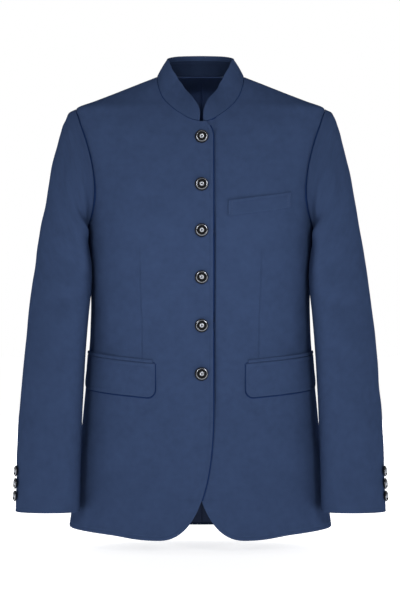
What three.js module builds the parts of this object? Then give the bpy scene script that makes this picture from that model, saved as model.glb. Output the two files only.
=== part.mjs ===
// Prince coat: a fitted, closed-neck coat with a standing collar, filled out as if worn and hollow inside.
// Millimetres, +Z up. The front faces -Y, so the wearer's right side is at -X.
// The origin is the middle of the line between the two neck points, where the coat rests on its wearer.
import * as THREE from 'three';

// ---- Driving dimensions ----------------------------------------------------------------------------

const SEAM_GAP = 0.3; // between pieces that are sewn edge to edge
const LAID_GAP = 0.8; // under a piece that lies on a panel
const BODY_WALL = 2.0; // cloth with its canvas
const SLEEVE_WALL = 1.8;
const SLEEVE_WALL_AT_SEAM = 1.0; // pressed flat where it is sewn in
const COLLAR_WALL = 2.2;
const COLLAR_INNER_WALL = 1.2;
const LINING_WALL = 1.0;
const POCKET_WALL = 1.8;

const NECK_HALF = 72; // neck point to the centre
const SHOULDER_SLOPE = 0.395; // drop for each millimetre outwards
const SHOULDER_HALF = 205; // armhole seam's top to the centre
const ARMHOLE_TOP = -(SHOULDER_HALF - NECK_HALF) * SHOULDER_SLOPE;
const ARMHOLE_BOTTOM = -262;
const BACK_NECK_Z = 6;
const FRONT_NECK_Z = -80.6;
const HEM_FRONT_Z = -752;
const HEM_SIDE_RISE = 13; // the hem is higher at the side seams

const CLOSING_X = 1.8; // the line that the front buttons sit on
const LAP = 18.5; // front edge past the closing line
const LAP_LIFT = BODY_WALL + 1.0; // the upper front clears the lower one
const LAP_FADE = { from: 26, to: 74 }; // distances from the centre over which that lift fades out
const UPPER_CORNER = { reach: 9, drop: 24 }; // the upper front's rounded top corner
const UNDER_CORNER = { reach: LAP, drop: 1 };
const CUTAWAY_START_Z = -540;
const CUTAWAY_REACH = 72; // closing line to where the cutaway meets the hem
const CUTAWAY_POWER = 2.4; // 2 is an ellipse, more is squarer
const CUTAWAY_SPLIT = Math.PI / 3; // above this angle the curve is front edge, below it hem

const SIDE_SEAM = 1.06; // as a share of the girth's quarters, 1 is straight out to the side
const CENTRE_BACK = 2;

const COLLAR_SEAM = 0.8; // above the neckline, which is worked a little flat between its points
const COLLAR_END_GAP = 6;
const COLLAR_CORNER_RUN = 16;
const COLLAR_CORNER_DROP = 22;
const COLLAR_TURN = 8; // the outer collar turns over the top edge by this much
const COLLAR_PLY_GAP = 0.7; // between the collar's outer and inner plies
const COLLAR_INNER_FOOT = 2; // the inner collar starts this far above the seam

const FRONT_BUTTON = { radius: 10.8, heights: [-106.6, -183.6, -256.6, -331, -408.6, -486] };
const CUFF_BUTTON = { radius: 9, count: 3, topZ: -646, spacing: 20 };
const BUTTON_SEGMENTS = 14;

// The body's girth at each height: a rounded box, elliptic where square is 2.
const TORSO = [
  { z: 14, half: 45, front: 6, back: 57, square: 2.0 },
  { z: 6, half: 60, front: 10, back: 62, square: 2.0 },
  { z: 0, half: 72, front: 15, back: 66, square: 2.0 },
  { z: -12, half: 102.4, front: 28, back: 73, square: 2.0 },
  { z: -25, half: 135.3, front: 40.5, back: 81, square: 2.0 },
  { z: -40, half: 173.3, front: 52, back: 89, square: 2.0 },
  { z: ARMHOLE_TOP, half: SHOULDER_HALF, front: 62, back: 95, square: 2.0 },
  { z: -60, half: 208.5, front: 67, back: 98, square: 2.0 },
  { z: -80, half: 209, front: 80, back: 104, square: 2.02 },
  { z: -110, half: 206, front: 93, back: 111, square: 2.06 },
  { z: -150, half: 200, front: 107, back: 117, square: 2.14 },
  { z: -190, half: 194.5, front: 117, back: 118.5, square: 2.2 },
  { z: -225, half: 190, front: 121.5, back: 116, square: 2.26 },
  { z: -262, half: 186.5, front: 122.5, back: 111, square: 2.3 },
  { z: -310, half: 182.5, front: 119.5, back: 102, square: 2.34 },
  { z: -350, half: 180.5, front: 116, back: 96, square: 2.36 },
  { z: -390, half: 180.3, front: 114, back: 94, square: 2.36 },
  { z: -430, half: 181.8, front: 113.5, back: 97, square: 2.36 },
  { z: -492, half: 187, front: 116, back: 106, square: 2.36 },
  { z: -560, half: 193.8, front: 120, back: 116, square: 2.34 },
  { z: -660, half: 205.2, front: 126, back: 125, square: 2.32 },
  { z: -739, half: 215.6, front: 129, back: 129, square: 2.3 },
  { z: -765, half: 218.6, front: 130, back: 130, square: 2.3 },
];

// The front neckline as it is seen from the front.
const NECKLINE = [
  { x: 0, z: FRONT_NECK_Z },
  { x: 15, z: -76.8 },
  { x: 31, z: -67.5 },
  { x: 48, z: -54 },
  { x: 60.5, z: -39.5 },
  { x: 67.5, z: -24 },
  { x: 70.8, z: -11 },
  { x: NECK_HALF, z: 0 },
];

// How far the armhole swings forward and back from the side, as shares of a quarter of the girth.
const ARMHOLE = { front: 0.285, back: 0.235, frontSkew: 0.38, backSkew: 0.12 };

// Rings of the sleeve from the armhole to the cuff. out and in are its outer and inner edges seen from
// the front; middle and depth place it front to back; yaw carries the inner edge forward.
const SLEEVE = [
  { row: 0, outX: 205, outZ: ARMHOLE_TOP, inX: 186.8, inZ: -262, middle: 4, depth: 66, yaw: 0 },
  { row: 1, outX: 216.5, outZ: -58.5, inX: 187.6, inZ: -264, middle: 3, depth: 68, yaw: 3 },
  { row: 2, outX: 225, outZ: -77, inX: 187, inZ: -268, middle: 1, depth: 69, yaw: 8 },
  { row: 3, outX: 234.5, outZ: -108, inX: 183.5, inZ: -276, middle: -2, depth: 68, yaw: 14 },
  { row: 4, outX: 246, outZ: -154, inX: 178.5, inZ: -292, middle: -6, depth: 65, yaw: 20 },
  { row: 5, outX: 258.5, outZ: -217, inX: 176, inZ: -320, middle: -11, depth: 60, yaw: 27 },
  { row: 6, outX: 270, outZ: -284, inX: 177.5, inZ: -352, middle: -17, depth: 54, yaw: 33 },
  { row: 7, outX: 279, outZ: -344, inX: 181, inZ: -390, middle: -24, depth: 50, yaw: 35 },
  { row: 8, outX: 286.5, outZ: -416, inX: 185, inZ: -442, middle: -33, depth: 46.5, yaw: 33 },
  { row: 9, outX: 292, outZ: -486, inX: 188.2, inZ: -500, middle: -42, depth: 44, yaw: 29 },
  { row: 10, outX: 296.5, outZ: -556, inX: 191, inZ: -560, middle: -50.5, depth: 42, yaw: 25 },
  { row: 11, outX: 299.7, outZ: -634, inX: 193.2, inZ: -634, middle: -59, depth: 40, yaw: 21 },
  { row: 12, outX: 301.8, outZ: -711.4, inX: 194.6, inZ: -708.4, middle: -67, depth: 38.5, yaw: 18 },
];
const SLEEVE_LAST = SLEEVE.length - 1;
const SLEEVE_SQUARE = 2.15;
const ARMHOLE_GAP = 0.7; // from the body at the armhole seam
const SLEEVE_CLEARANCE = 2.6; // from the body's side lower down
const ARMHOLE_FADE = 4; // rings over which the armhole's own outline fades out
const FORE_SEAM = -20; // degrees round the sleeve: 0 inner edge, 90 front, 180 outer edge, 270 back
const HIND_SEAM = [
  { row: 0, angle: 236 },
  { row: 6, angle: 232 },
  { row: 9, angle: 220 },
  { row: 12, angle: 200 },
];
const CUFF_BUTTON_ANGLE = 163;

// Hip pocket: distances along the girth from the centre line, heights at its front end.
const HIP_POCKET = {
  front: 72.5,
  back: 224,
  topZ: -463.5,
  rise: 0.086,
  jetHeight: 6,
  flapHeight: 55,
  corner: 14,
};
const JET_INSET = 4; // the jet is shorter than the flap at its front end
const CHEST_POCKET = { front: 44, back: 151, topZ: -208.6, rise: 0.14, height: 26 };
const JET_GRID = { columns: 9, rows: 1 };
const FLAP_GRID = { columns: 16, rows: 3 };
const WELT_GRID = { columns: 7, rows: 2 };

// ---- Curves and girths -----------------------------------------------------------------------------

// A smooth curve through the rows of a table that never overshoots them.
function curveThrough(rows, input, output) {
  const sorted = [...rows].sort((a, b) => a[input] - b[input]);
  const xs = sorted.map((row) => row[input]);
  const ys = sorted.map((row) => row[output]);
  const slopes = [];
  for (let i = 0; i < xs.length - 1; i += 1) {
    slopes.push((ys[i + 1] - ys[i]) / (xs[i + 1] - xs[i]));
  }
  const tangents = xs.map((_, i) => {
    if (i === 0) return slopes[0];
    if (i === xs.length - 1) return slopes[i - 1];
    if (slopes[i - 1] * slopes[i] <= 0) return 0;
    return (2 * slopes[i - 1] * slopes[i]) / (slopes[i - 1] + slopes[i]);
  });
  return (x) => {
    let i = 0;
    while (i < xs.length - 2 && x > xs[i + 1]) i += 1;
    const width = xs[i + 1] - xs[i];
    const t = THREE.MathUtils.clamp((x - xs[i]) / width, 0, 1);
    const u = 1 - t;
    const rise = ys[i] * (1 + 2 * t) * u * u + ys[i + 1] * t * t * (3 - 2 * t);
    return rise + width * (tangents[i] * t * u * u - tangents[i + 1] * t * t * u);
  };
}

const torsoHalf = curveThrough(TORSO, 'z', 'half');
const torsoFront = curveThrough(TORSO, 'z', 'front');
const torsoBack = curveThrough(TORSO, 'z', 'back');
const torsoSquare = curveThrough(TORSO, 'z', 'square');

const lerp = THREE.MathUtils.lerp;
const smooth = THREE.MathUtils.smoothstep;
const ARC_STEPS = 48;

// Points along one quarter of a girth, from the centre line to the side, with the length up to each.
function quarterArc(half, depth, square) {
  const arc = [];
  let length = 0;
  for (let i = 0; i <= ARC_STEPS; i += 1) {
    const angle = (i / ARC_STEPS) * (Math.PI / 2);
    const x = half * Math.sin(angle) ** (2 / square);
    const y = i === ARC_STEPS ? 0 : depth * Math.cos(angle) ** (2 / square);
    if (i > 0) length += Math.hypot(x - arc[i - 1].x, y - arc[i - 1].y);
    arc.push({ x, y, length });
  }
  return arc;
}

function pointAlong(arc, column, value) {
  let i = 0;
  while (i < arc.length - 2 && value > arc[i + 1][column]) i += 1;
  const share = (value - arc[i][column]) / (arc[i + 1][column] - arc[i][column]);
  return {
    x: lerp(arc[i].x, arc[i + 1].x, share),
    y: lerp(arc[i].y, arc[i + 1].y, share),
    length: lerp(arc[i].length, arc[i + 1].length, share),
  };
}

function frontArc(z) {
  return quarterArc(torsoHalf(z), torsoFront(z), torsoSquare(z));
}

function backArc(z) {
  return quarterArc(torsoHalf(z), torsoBack(z), torsoSquare(z));
}

function arcLength(arc) {
  return arc[arc.length - 1].length;
}

// The body's outside on the +X side. turn is 0 at the centre front, 1 at the side, 2 at the centre back.
function torsoPoint(turn, z) {
  const crossed = turn < 0 || turn > CENTRE_BACK;
  let own = turn;
  if (turn < 0) own = -turn;
  if (turn > CENTRE_BACK) own = 2 * CENTRE_BACK - turn;
  const inFront = own <= 1;
  const arc = inFront ? frontArc(z) : backArc(z);
  const share = inFront ? own : CENTRE_BACK - own;
  const at = pointAlong(arc, 'length', share * arcLength(arc));
  return new THREE.Vector3(crossed ? -at.x : at.x, inFront ? -at.y : at.y, z);
}

// The turn at a distance from the centre front, measured along the girth.
function turnAtLength(length, z) {
  return length / arcLength(frontArc(z));
}

// The turn at a distance from the centre plane, seen from the front.
function turnAtX(x, z) {
  const arc = frontArc(z);
  return (Math.sign(x) * pointAlong(arc, 'x', Math.abs(x)).length) / arcLength(arc);
}

function outwardOf(surface, a, b, stepA, stepB) {
  const alongA = surface(a + stepA, b).sub(surface(a - stepA, b));
  const alongB = surface(a, b + stepB).sub(surface(a, b - stepB));
  return alongA.cross(alongB).normalize();
}

const TORSO_STEP = { turn: 0.01, z: 1 };

function torsoNormal(turn, z) {
  return outwardOf(torsoPoint, turn, z, TORSO_STEP.turn, TORSO_STEP.z);
}

function hemZ(turn) {
  return HEM_FRONT_Z + HEM_SIDE_RISE * Math.sin((turn * Math.PI) / 2) ** 2;
}

// How far the upper front stands off the body to clear the lower one.
function lapLift(ownX) {
  return LAP_LIFT * (1 - smooth(ownX, LAP_FADE.from, LAP_FADE.to));
}

// ---- Walls -----------------------------------------------------------------------------------------

// A closed wall on a grid of outer points. Each point has a place, a normal and a thickness inwards.
function wallOnGrid(grid) {
  const columns = grid.length;
  const rows = grid[0].length;
  const vertices = [];
  const triangles = [];
  const index = (i, j, inner = false) => (i * rows + j) * 2 + (inner ? 1 : 0);
  for (const column of grid) {
    for (const { place, normal, thickness } of column) {
      const inside = place.clone().addScaledVector(normal, -thickness);
      vertices.push(place.x, place.y, place.z, inside.x, inside.y, inside.z);
    }
  }
  const quad = (a, b, c, d) => triangles.push(a, b, c, a, c, d);
  const rim = (i, j, toI, toJ) => {
    quad(index(i, j), index(i, j, true), index(toI, toJ, true), index(toI, toJ));
  };
  const right = columns - 1;
  const end = rows - 1;
  for (let i = 0; i < right; i += 1) {
    for (let j = 0; j < end; j += 1) {
      quad(index(i, j), index(i + 1, j), index(i + 1, j + 1), index(i, j + 1));
      quad(index(i + 1, j + 1, true), index(i + 1, j, true), index(i, j, true), index(i, j + 1, true));
    }
  }
  for (let i = 0; i < right; i += 1) {
    rim(i, 0, i + 1, 0);
    rim(i + 1, end, i, end);
  }
  for (let j = 0; j < end; j += 1) {
    rim(0, j + 1, 0, j);
    rim(right, j, right, j + 1);
  }
  return closedGeometry(vertices, triangles);
}

function closedGeometry(vertices, triangles) {
  let volume = 0;
  const corner = (k) => new THREE.Vector3(...vertices.slice(3 * k, 3 * k + 3));
  for (let t = 0; t < triangles.length; t += 3) {
    const [a, b, c] = [corner(triangles[t]), corner(triangles[t + 1]), corner(triangles[t + 2])];
    volume += a.dot(b.cross(c));
  }
  if (volume < 0) triangles.reverse();
  const geometry = new THREE.BufferGeometry();
  geometry.setAttribute('position', new THREE.Float32BufferAttribute(vertices, 3));
  geometry.setIndex(triangles);
  geometry.computeVertexNormals();
  return geometry;
}

// Draws the borders of a grid in by half a seam gap.
function drawnIn(grid) {
  const last = grid.length - 1;
  const end = grid[0].length - 1;
  const places = grid.map((column) => column.map((point) => point.place.clone()));
  const nudge = (i, j, toI, toJ) => {
    const step = places[toI][toJ].clone().sub(places[i][j]);
    grid[i][j].place.add(step.setLength(SEAM_GAP / 2));
  };
  for (let j = 0; j <= end; j += 1) {
    nudge(0, j, 1, j);
    nudge(last, j, last - 1, j);
  }
  for (let i = 0; i <= last; i += 1) {
    nudge(i, 0, i, 1);
    nudge(i, end, i, end - 1);
  }
  return grid;
}

function makeGrid(columns, rows, pointAt) {
  const grid = [];
  for (let i = 0; i <= columns; i += 1) {
    const column = [];
    for (let j = 0; j <= rows; j += 1) column.push(pointAt(i / columns, j / rows, i, j));
    grid.push(column);
  }
  return grid;
}

// Mirrors a grid made on the +X side for side -1.
function onSide(grid, side) {
  for (const { place, normal } of grid.flat()) {
    place.x *= side;
    normal.x *= side;
  }
  return grid;
}

function torsoGridPoint(turn, z, out, thickness) {
  const normal = torsoNormal(turn, z);
  const place = torsoPoint(turn, z).addScaledVector(normal, out);
  return { place, normal, thickness };
}

// ---- Fronts and backs ------------------------------------------------------------------------------

// A point on the armhole seam. way is 0 at the shoulder and 1 under the arm; branch is -1 front, 1 back.
function armholeAt(way, branch) {
  const angle = way * Math.PI;
  const middle = (ARMHOLE_TOP + ARMHOLE_BOTTOM) / 2;
  const reach = (ARMHOLE_TOP - ARMHOLE_BOTTOM) / 2;
  const swing = branch < 0 ? ARMHOLE.front : ARMHOLE.back;
  const skew = branch < 0 ? ARMHOLE.frontSkew : ARMHOLE.backSkew;
  const drift = (SIDE_SEAM - 1) * (1 - Math.cos(angle)) / 2;
  const bulge = swing * Math.sin(angle) * (1 - skew * Math.cos(angle));
  return { turn: 1 + drift + branch * bulge, z: middle + reach * Math.cos(angle) };
}

// Blends four borders into the inside of a panel.
function blendBorders({ top, bottom, inner, outer }, u, v) {
  const mix = (key) => {
    const across = lerp(inner(v)[key], outer(v)[key], u);
    const along = lerp(top(u)[key], bottom(u)[key], v);
    const low = lerp(top(0)[key], top(1)[key], u);
    const high = lerp(bottom(0)[key], bottom(1)[key], u);
    return across + along - lerp(low, high, v);
  };
  return { turn: mix('turn'), z: mix('z') };
}

const FRONT_COLUMNS = 12;
const CORNER_COLUMNS = 3; // of the front's columns, on the cutaway's lower half
const BACK_COLUMNS = 10;
const PANEL_ROWS = 26;
const NECK_ROWS = 9; // rows that end on the neckline
const ARMHOLE_ROWS = 13; // rows that end on the armhole
const NECK_SHARE = NECK_ROWS / PANEL_ROWS;
const ARMHOLE_SHARE = ARMHOLE_ROWS / PANEL_ROWS;

function shoulderSeam(u) {
  return { turn: 1, z: lerp(0, ARMHOLE_TOP, u) };
}

function outerBorder(branch) {
  return (v) => {
    if (v <= ARMHOLE_SHARE) return armholeAt(v / ARMHOLE_SHARE, branch);
    const way = (v - ARMHOLE_SHARE) / (1 - ARMHOLE_SHARE);
    return { turn: SIDE_SEAM, z: lerp(ARMHOLE_BOTTOM, hemZ(SIDE_SEAM), way) };
  };
}

const neckX = curveThrough(
  NECKLINE.map((row, i) => ({ ...row, way: i / (NECKLINE.length - 1) })),
  'way',
  'x',
);
const neckZ = curveThrough(NECKLINE, 'x', 'z');

// The front neckline. way is 0 at the neck point and 1 at the closing line.
function frontNeckAt(way, endX) {
  const x = Math.max(neckX(1 - way), 0) + endX * way;
  const z = way === 0 ? 0 : neckZ(Math.max(x, 0));
  return { turn: way === 0 ? 1 : turnAtX(x, z), z };
}

// The cutaway from the straight front edge round to the hem, as distances from the closing line.
function cutawayAt(angle, closing) {
  const along = Math.sin(angle) ** (2 / CUTAWAY_POWER);
  const across = Math.max(Math.cos(angle), 0) ** (2 / CUTAWAY_POWER);
  const x = closing + CUTAWAY_REACH - (CUTAWAY_REACH + LAP) * across;
  const z = lerp(CUTAWAY_START_Z, HEM_FRONT_Z, along);
  return { turn: turnAtX(x, z), z };
}

function frontBorders(closing, topCorner) {
  const edgeX = closing - LAP;
  const cornerX = closing - topCorner.reach;
  const inner = (v) => {
    if (v <= NECK_SHARE) return frontNeckAt(v / NECK_SHARE, cornerX);
    const way = (v - NECK_SHARE) / (1 - NECK_SHARE);
    const z = lerp(FRONT_NECK_Z, cutawayAt(CUTAWAY_SPLIT, closing).z, way);
    if (z > CUTAWAY_START_Z) {
      const round = smooth(-z, -FRONT_NECK_Z, -FRONT_NECK_Z + topCorner.drop);
      const x = lerp(cornerX, edgeX, Math.sqrt(round));
      return { turn: turnAtX(x, z), z };
    }
    const along = (z - CUTAWAY_START_Z) / (HEM_FRONT_Z - CUTAWAY_START_Z);
    return cutawayAt(Math.asin(along ** (CUTAWAY_POWER / 2)), closing);
  };
  const bottom = (u) => {
    const cornerShare = CORNER_COLUMNS / FRONT_COLUMNS;
    if (u < cornerShare) return cutawayAt(lerp(CUTAWAY_SPLIT, Math.PI / 2, u / cornerShare), closing);
    const start = cutawayAt(Math.PI / 2, closing);
    const turn = lerp(start.turn, SIDE_SEAM, (u - cornerShare) / (1 - cornerShare));
    const settle = 1 - smooth(u, cornerShare, 2 * cornerShare);
    return { turn, z: lerp(hemZ(turn), HEM_FRONT_Z, settle) };
  };
  return { top: shoulderSeam, bottom, inner, outer: outerBorder(-1) };
}

function frontPanel(side, upper) {
  const closing = side * CLOSING_X;
  const borders = frontBorders(closing, upper ? UPPER_CORNER : UNDER_CORNER);
  const grid = makeGrid(FRONT_COLUMNS, PANEL_ROWS, (u, v) => {
    const { turn, z } = blendBorders(borders, u, v);
    const lift = upper ? lapLift(torsoPoint(turn, z).x) : 0;
    return torsoGridPoint(turn, z, lift, BODY_WALL);
  });
  return wallOnGrid(onSide(drawnIn(grid), side));
}

// Height of the back neckline. share is 0 at the neck point and 1 at the centre back.
function backNeckZ(share) {
  return BACK_NECK_Z * Math.sin((share * Math.PI) / 2);
}

const BACK_BORDERS = {
  top: shoulderSeam,
  bottom: (u) => {
    const turn = lerp(CENTRE_BACK, SIDE_SEAM, u);
    return { turn, z: hemZ(turn) };
  },
  inner: (v) => {
    if (v <= NECK_SHARE) return { turn: 1 + v / NECK_SHARE, z: backNeckZ(v / NECK_SHARE) };
    const way = (v - NECK_SHARE) / (1 - NECK_SHARE);
    return { turn: CENTRE_BACK, z: lerp(BACK_NECK_Z, HEM_FRONT_Z, way) };
  },
  outer: outerBorder(1),
};

function backPanel(side) {
  const grid = makeGrid(BACK_COLUMNS, PANEL_ROWS, (u, v) => {
    const { turn, z } = blendBorders(BACK_BORDERS, u, v);
    return torsoGridPoint(turn, z, 0, BODY_WALL);
  });
  return wallOnGrid(onSide(drawnIn(grid), side));
}

// Each half of the back lining hangs on every second grid line of its back and stops above the hem.
const LINING = { reach: 0.8, looseness: 3.2, hemRise: 6, columns: 4, rows: PANEL_ROWS / 2 };

function backLining(side) {
  const grid = makeGrid(LINING.columns, LINING.rows, (u, v) => {
    const { turn, z } = blendBorders(BACK_BORDERS, u * LINING.reach, v);
    const raised = v === 1 ? z + LINING.hemRise : z;
    return torsoGridPoint(turn, raised, -BODY_WALL - LINING.looseness, LINING_WALL);
  });
  return wallOnGrid(onSide(drawnIn(grid), side));
}

// ---- Sleeves ---------------------------------------------------------------------------------------

const SLEEVE_COLUMN_NAMES = Object.keys(SLEEVE[0]).filter((name) => name !== 'row');
const sleeveColumn = Object.fromEntries(
  SLEEVE_COLUMN_NAMES.map((name) => [name, curveThrough(SLEEVE, 'row', name)]),
);
const hindSeam = curveThrough(HIND_SEAM, 'row', 'angle');

function rounded(value) {
  return Math.sign(value) * Math.abs(value) ** (2 / SLEEVE_SQUARE);
}

function sleeveRing(angle, row) {
  const turned = THREE.MathUtils.degToRad(angle);
  const toInner = rounded(Math.cos(turned));
  const toFront = rounded(Math.sin(turned));
  const column = (name) => sleeveColumn[name](row);
  return new THREE.Vector3(
    (column('inX') + column('outX')) / 2 + ((column('inX') - column('outX')) / 2) * toInner,
    column('middle') - column('yaw') * toInner - column('depth') * toFront,
    (column('inZ') + column('outZ')) / 2 + ((column('inZ') - column('outZ')) / 2) * toInner,
  );
}

function armholePoint(angle) {
  const round = ((angle % 360) + 360) % 360;
  const branch = round <= 180 ? -1 : 1;
  const way = branch < 0 ? 1 - round / 180 : (round - 180) / 180;
  const { turn, z } = armholeAt(way, branch);
  return torsoPoint(turn, z);
}

// Pushes a point out to clear the body's side.
function clearOfBody(point, gap) {
  const depth = point.y < 0 ? torsoFront(point.z) : torsoBack(point.z);
  const square = torsoSquare(point.z);
  const across = Math.abs(point.x) / (torsoHalf(point.z) + gap);
  const along = Math.abs(point.y) / (depth + gap);
  const reach = (across ** square + along ** square) ** (1 / square);
  if (reach < 1) {
    point.x /= reach;
    point.y /= reach;
  }
  return point;
}

// The sleeve's outside on the +X side. angle is in degrees, row runs from the armhole to the cuff.
function sleevePoint(angle, row) {
  const point = sleeveRing(angle, row);
  const fade = 1 - smooth(row, 0, ARMHOLE_FADE);
  if (fade > 0) {
    const seam = armholePoint(angle).sub(sleeveRing(angle, 0));
    point.addScaledVector(seam, fade);
  }
  return clearOfBody(point, lerp(ARMHOLE_GAP, SLEEVE_CLEARANCE, smooth(row, 0, ARMHOLE_FADE / 2)));
}

// Close to the armhole the rings crowd together under the arm, so the first normals are taken past that.
const NORMAL_ROWS = { first: 0.6, last: SLEEVE_LAST - 0.06 };
const SLEEVE_STEP = { angle: 1.5, row: 0.05 };

function sleeveNormal(angle, row) {
  const at = THREE.MathUtils.clamp(row, NORMAL_ROWS.first, NORMAL_ROWS.last);
  const surface = (a, b) => sleevePoint(a, -b);
  return outwardOf(surface, angle, -at, SLEEVE_STEP.angle, SLEEVE_STEP.row);
}

const SLEEVE_ROWS = 20;
const TOP_SLEEVE_COLUMNS = 13;
const UNDER_SLEEVE_COLUMNS = 7;

function sleevePiece(side, columns, startAngle, endAngle) {
  const grid = makeGrid(columns, SLEEVE_ROWS, (u, v) => {
    const row = v * SLEEVE_LAST;
    const angle = lerp(startAngle(row), endAngle(row), u);
    const thickness = lerp(SLEEVE_WALL_AT_SEAM, SLEEVE_WALL, smooth(row, 0, 1));
    return { place: sleevePoint(angle, row), normal: sleeveNormal(angle, row), thickness };
  });
  return wallOnGrid(onSide(drawnIn(grid), side));
}

function topSleeve(side) {
  return sleevePiece(side, TOP_SLEEVE_COLUMNS, () => FORE_SEAM, hindSeam);
}

function underSleeve(side) {
  return sleevePiece(side, UNDER_SLEEVE_COLUMNS, hindSeam, () => FORE_SEAM + 360);
}

// ---- Collar ----------------------------------------------------------------------------------------

// Where the collar is sewn on. way is 0 at the closing line, 0.5 at the neck point, 1 at the centre back.
function neckSeamAt(way, closing, side) {
  if (way >= 0.5) {
    const share = 2 * way - 1;
    return torsoPoint(1 + share, backNeckZ(share));
  }
  const start = closing + COLLAR_END_GAP / 2;
  const { turn, z } = frontNeckAt(1 - 2 * way, start);
  const point = torsoPoint(turn, z);
  const lift = side < 0 ? lapLift(point.x) : 0;
  return point.addScaledVector(torsoNormal(turn, z), lift);
}

const COLLAR_SHAPE = [
  { way: 0, lean: 24, height: 35 },
  { way: 0.1, lean: 36, height: 42 },
  { way: 0.2, lean: 44, height: 47.5 },
  { way: 0.3, lean: 43, height: 43 },
  { way: 0.4, lean: 38, height: 36.5 },
  { way: 0.5, lean: 31, height: 35 },
  { way: 0.75, lean: 22, height: 36.4 },
  { way: 1, lean: 15, height: 36 },
];
const collarLean = curveThrough(COLLAR_SHAPE, 'way', 'lean');
const collarHeight = curveThrough(COLLAR_SHAPE, 'way', 'height');

const COLLAR_STEP = 0.004;

function collarColumn(way, side) {
  const closing = side * CLOSING_X;
  const base = neckSeamAt(way, closing, side);
  const before = neckSeamAt(Math.max(way - COLLAR_STEP, 0), closing, side);
  const after = neckSeamAt(Math.min(way + COLLAR_STEP, 1), closing, side);
  const along = after.sub(before).normalize();
  const inwards = new THREE.Vector3(-along.y, along.x, 0).normalize();
  const lean = THREE.MathUtils.degToRad(collarLean(way));
  const up = new THREE.Vector3(0, 0, Math.cos(lean)).addScaledVector(inwards, Math.sin(lean));
  const outwards = along.clone().cross(up).normalize();
  return { base, up, outwards };
}

// How much the collar's rounded front corner takes off its height at a distance from the end.
function collarCornerCut(distance) {
  if (distance >= COLLAR_CORNER_RUN) return 0;
  const short = 1 - distance / COLLAR_CORNER_RUN;
  return COLLAR_CORNER_DROP * (1 - Math.sqrt(1 - short * short));
}

const COLLAR_COLUMNS = 34;
const COLLAR_ROWS = 3;
const COLLAR_INNER_ROWS = 2;
const COLLAR_CROWDING = 1.35; // 1 spaces the columns evenly

// Columns are closer together at the two front ends, where the corners are round.
function collarWay(u) {
  const fromEnd = 1 - Math.abs(2 * u - 1);
  return { way: fromEnd ** COLLAR_CROWDING, side: u < 0.5 ? -1 : 1 };
}

function collarGrid(rows, low, turn, inset, thickness) {
  const endPoints = [-1, 1].map((side) => neckSeamAt(0, side * CLOSING_X, side));
  return makeGrid(COLLAR_COLUMNS, rows, (u, v) => {
    const { way, side } = collarWay(u);
    const { base, up, outwards } = collarColumn(way, side);
    const distance = base.distanceTo(endPoints[side < 0 ? 0 : 1]);
    const height = lerp(low, collarHeight(way) - collarCornerCut(distance) - turn, v);
    const place = base.clone().addScaledVector(up, height).addScaledVector(outwards, -inset);
    place.x *= side;
    const normal = outwards.clone();
    normal.x *= side;
    return { place, normal, thickness };
  });
}

function collarOuter() {
  return wallOnGrid(collarGrid(COLLAR_ROWS, COLLAR_SEAM, 0, 0, COLLAR_WALL));
}

function collarInner() {
  const inset = COLLAR_WALL + COLLAR_PLY_GAP;
  const grid = collarGrid(COLLAR_INNER_ROWS, COLLAR_INNER_FOOT, COLLAR_TURN, inset, COLLAR_INNER_WALL);
  return wallOnGrid(grid);
}

// ---- Pockets ---------------------------------------------------------------------------------------

// A patch on a front panel: along is measured round the girth, down is its drop below the top line.
function patchOnFront(side, { front, back, topZ, rise }, { columns, rows }, dropAt) {
  const grid = makeGrid(columns, rows, (u, v) => {
    const along = lerp(front, back, u);
    const z = topZ + rise * (along - front) - dropAt(along, v);
    return torsoGridPoint(turnAtLength(along, z), z, LAID_GAP + POCKET_WALL, POCKET_WALL);
  });
  return wallOnGrid(onSide(grid, side));
}

// Drop of a rounded lower corner at a distance from the end.
function cornerCut(distance, radius) {
  if (distance >= radius) return 0;
  return radius - Math.sqrt(radius * radius - (radius - distance) ** 2);
}

function pocketJet(side) {
  const line = { ...HIP_POCKET, front: HIP_POCKET.front + JET_INSET };
  line.topZ = HIP_POCKET.topZ + HIP_POCKET.rise * JET_INSET;
  return patchOnFront(side, line, JET_GRID, (along, v) => v * HIP_POCKET.jetHeight);
}

function pocketFlap(side) {
  const { front, back, jetHeight, flapHeight, corner } = HIP_POCKET;
  const drop = (along, v) => {
    const nearest = Math.min(along - front, back - along);
    const height = flapHeight - cornerCut(nearest, corner);
    return jetHeight + SEAM_GAP + v * height;
  };
  return patchOnFront(side, HIP_POCKET, FLAP_GRID, drop);
}

function chestWelt(side) {
  return patchOnFront(side, CHEST_POCKET, WELT_GRID, (along, v) => v * CHEST_POCKET.height);
}

// ---- Buttons ---------------------------------------------------------------------------------------

// Half section of a shank button as shares of its radius, from the foot of the shank to the face.
const BUTTON_OUTLINE = [
  { across: 0, up: 0 },
  { across: 0.3, up: 0 },
  { across: 0.3, up: 0.14 },
  { across: 0.84, up: 0.2 },
  { across: 1, up: 0.36 },
  { across: 0.93, up: 0.5 },
  { across: 0.8, up: 0.5 },
  { across: 0.7, up: 0.36 },
  { across: 0.4, up: 0.36 },
  { across: 0.3, up: 0.47 },
  { across: 0, up: 0.5 },
];

function buttonGeometry(radius) {
  const points = BUTTON_OUTLINE.map(({ across, up }) => new THREE.Vector2(across * radius, up * radius));
  return new THREE.LatheGeometry(points, BUTTON_SEGMENTS);
}

function placedButton(name, radius, foot, normal) {
  const button = new THREE.Mesh(buttonGeometry(radius), material('button'));
  button.name = name;
  button.position.copy(foot).addScaledVector(normal, SEAM_GAP);
  button.quaternion.setFromUnitVectors(new THREE.Vector3(0, 1, 0), normal);
  return button;
}

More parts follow.
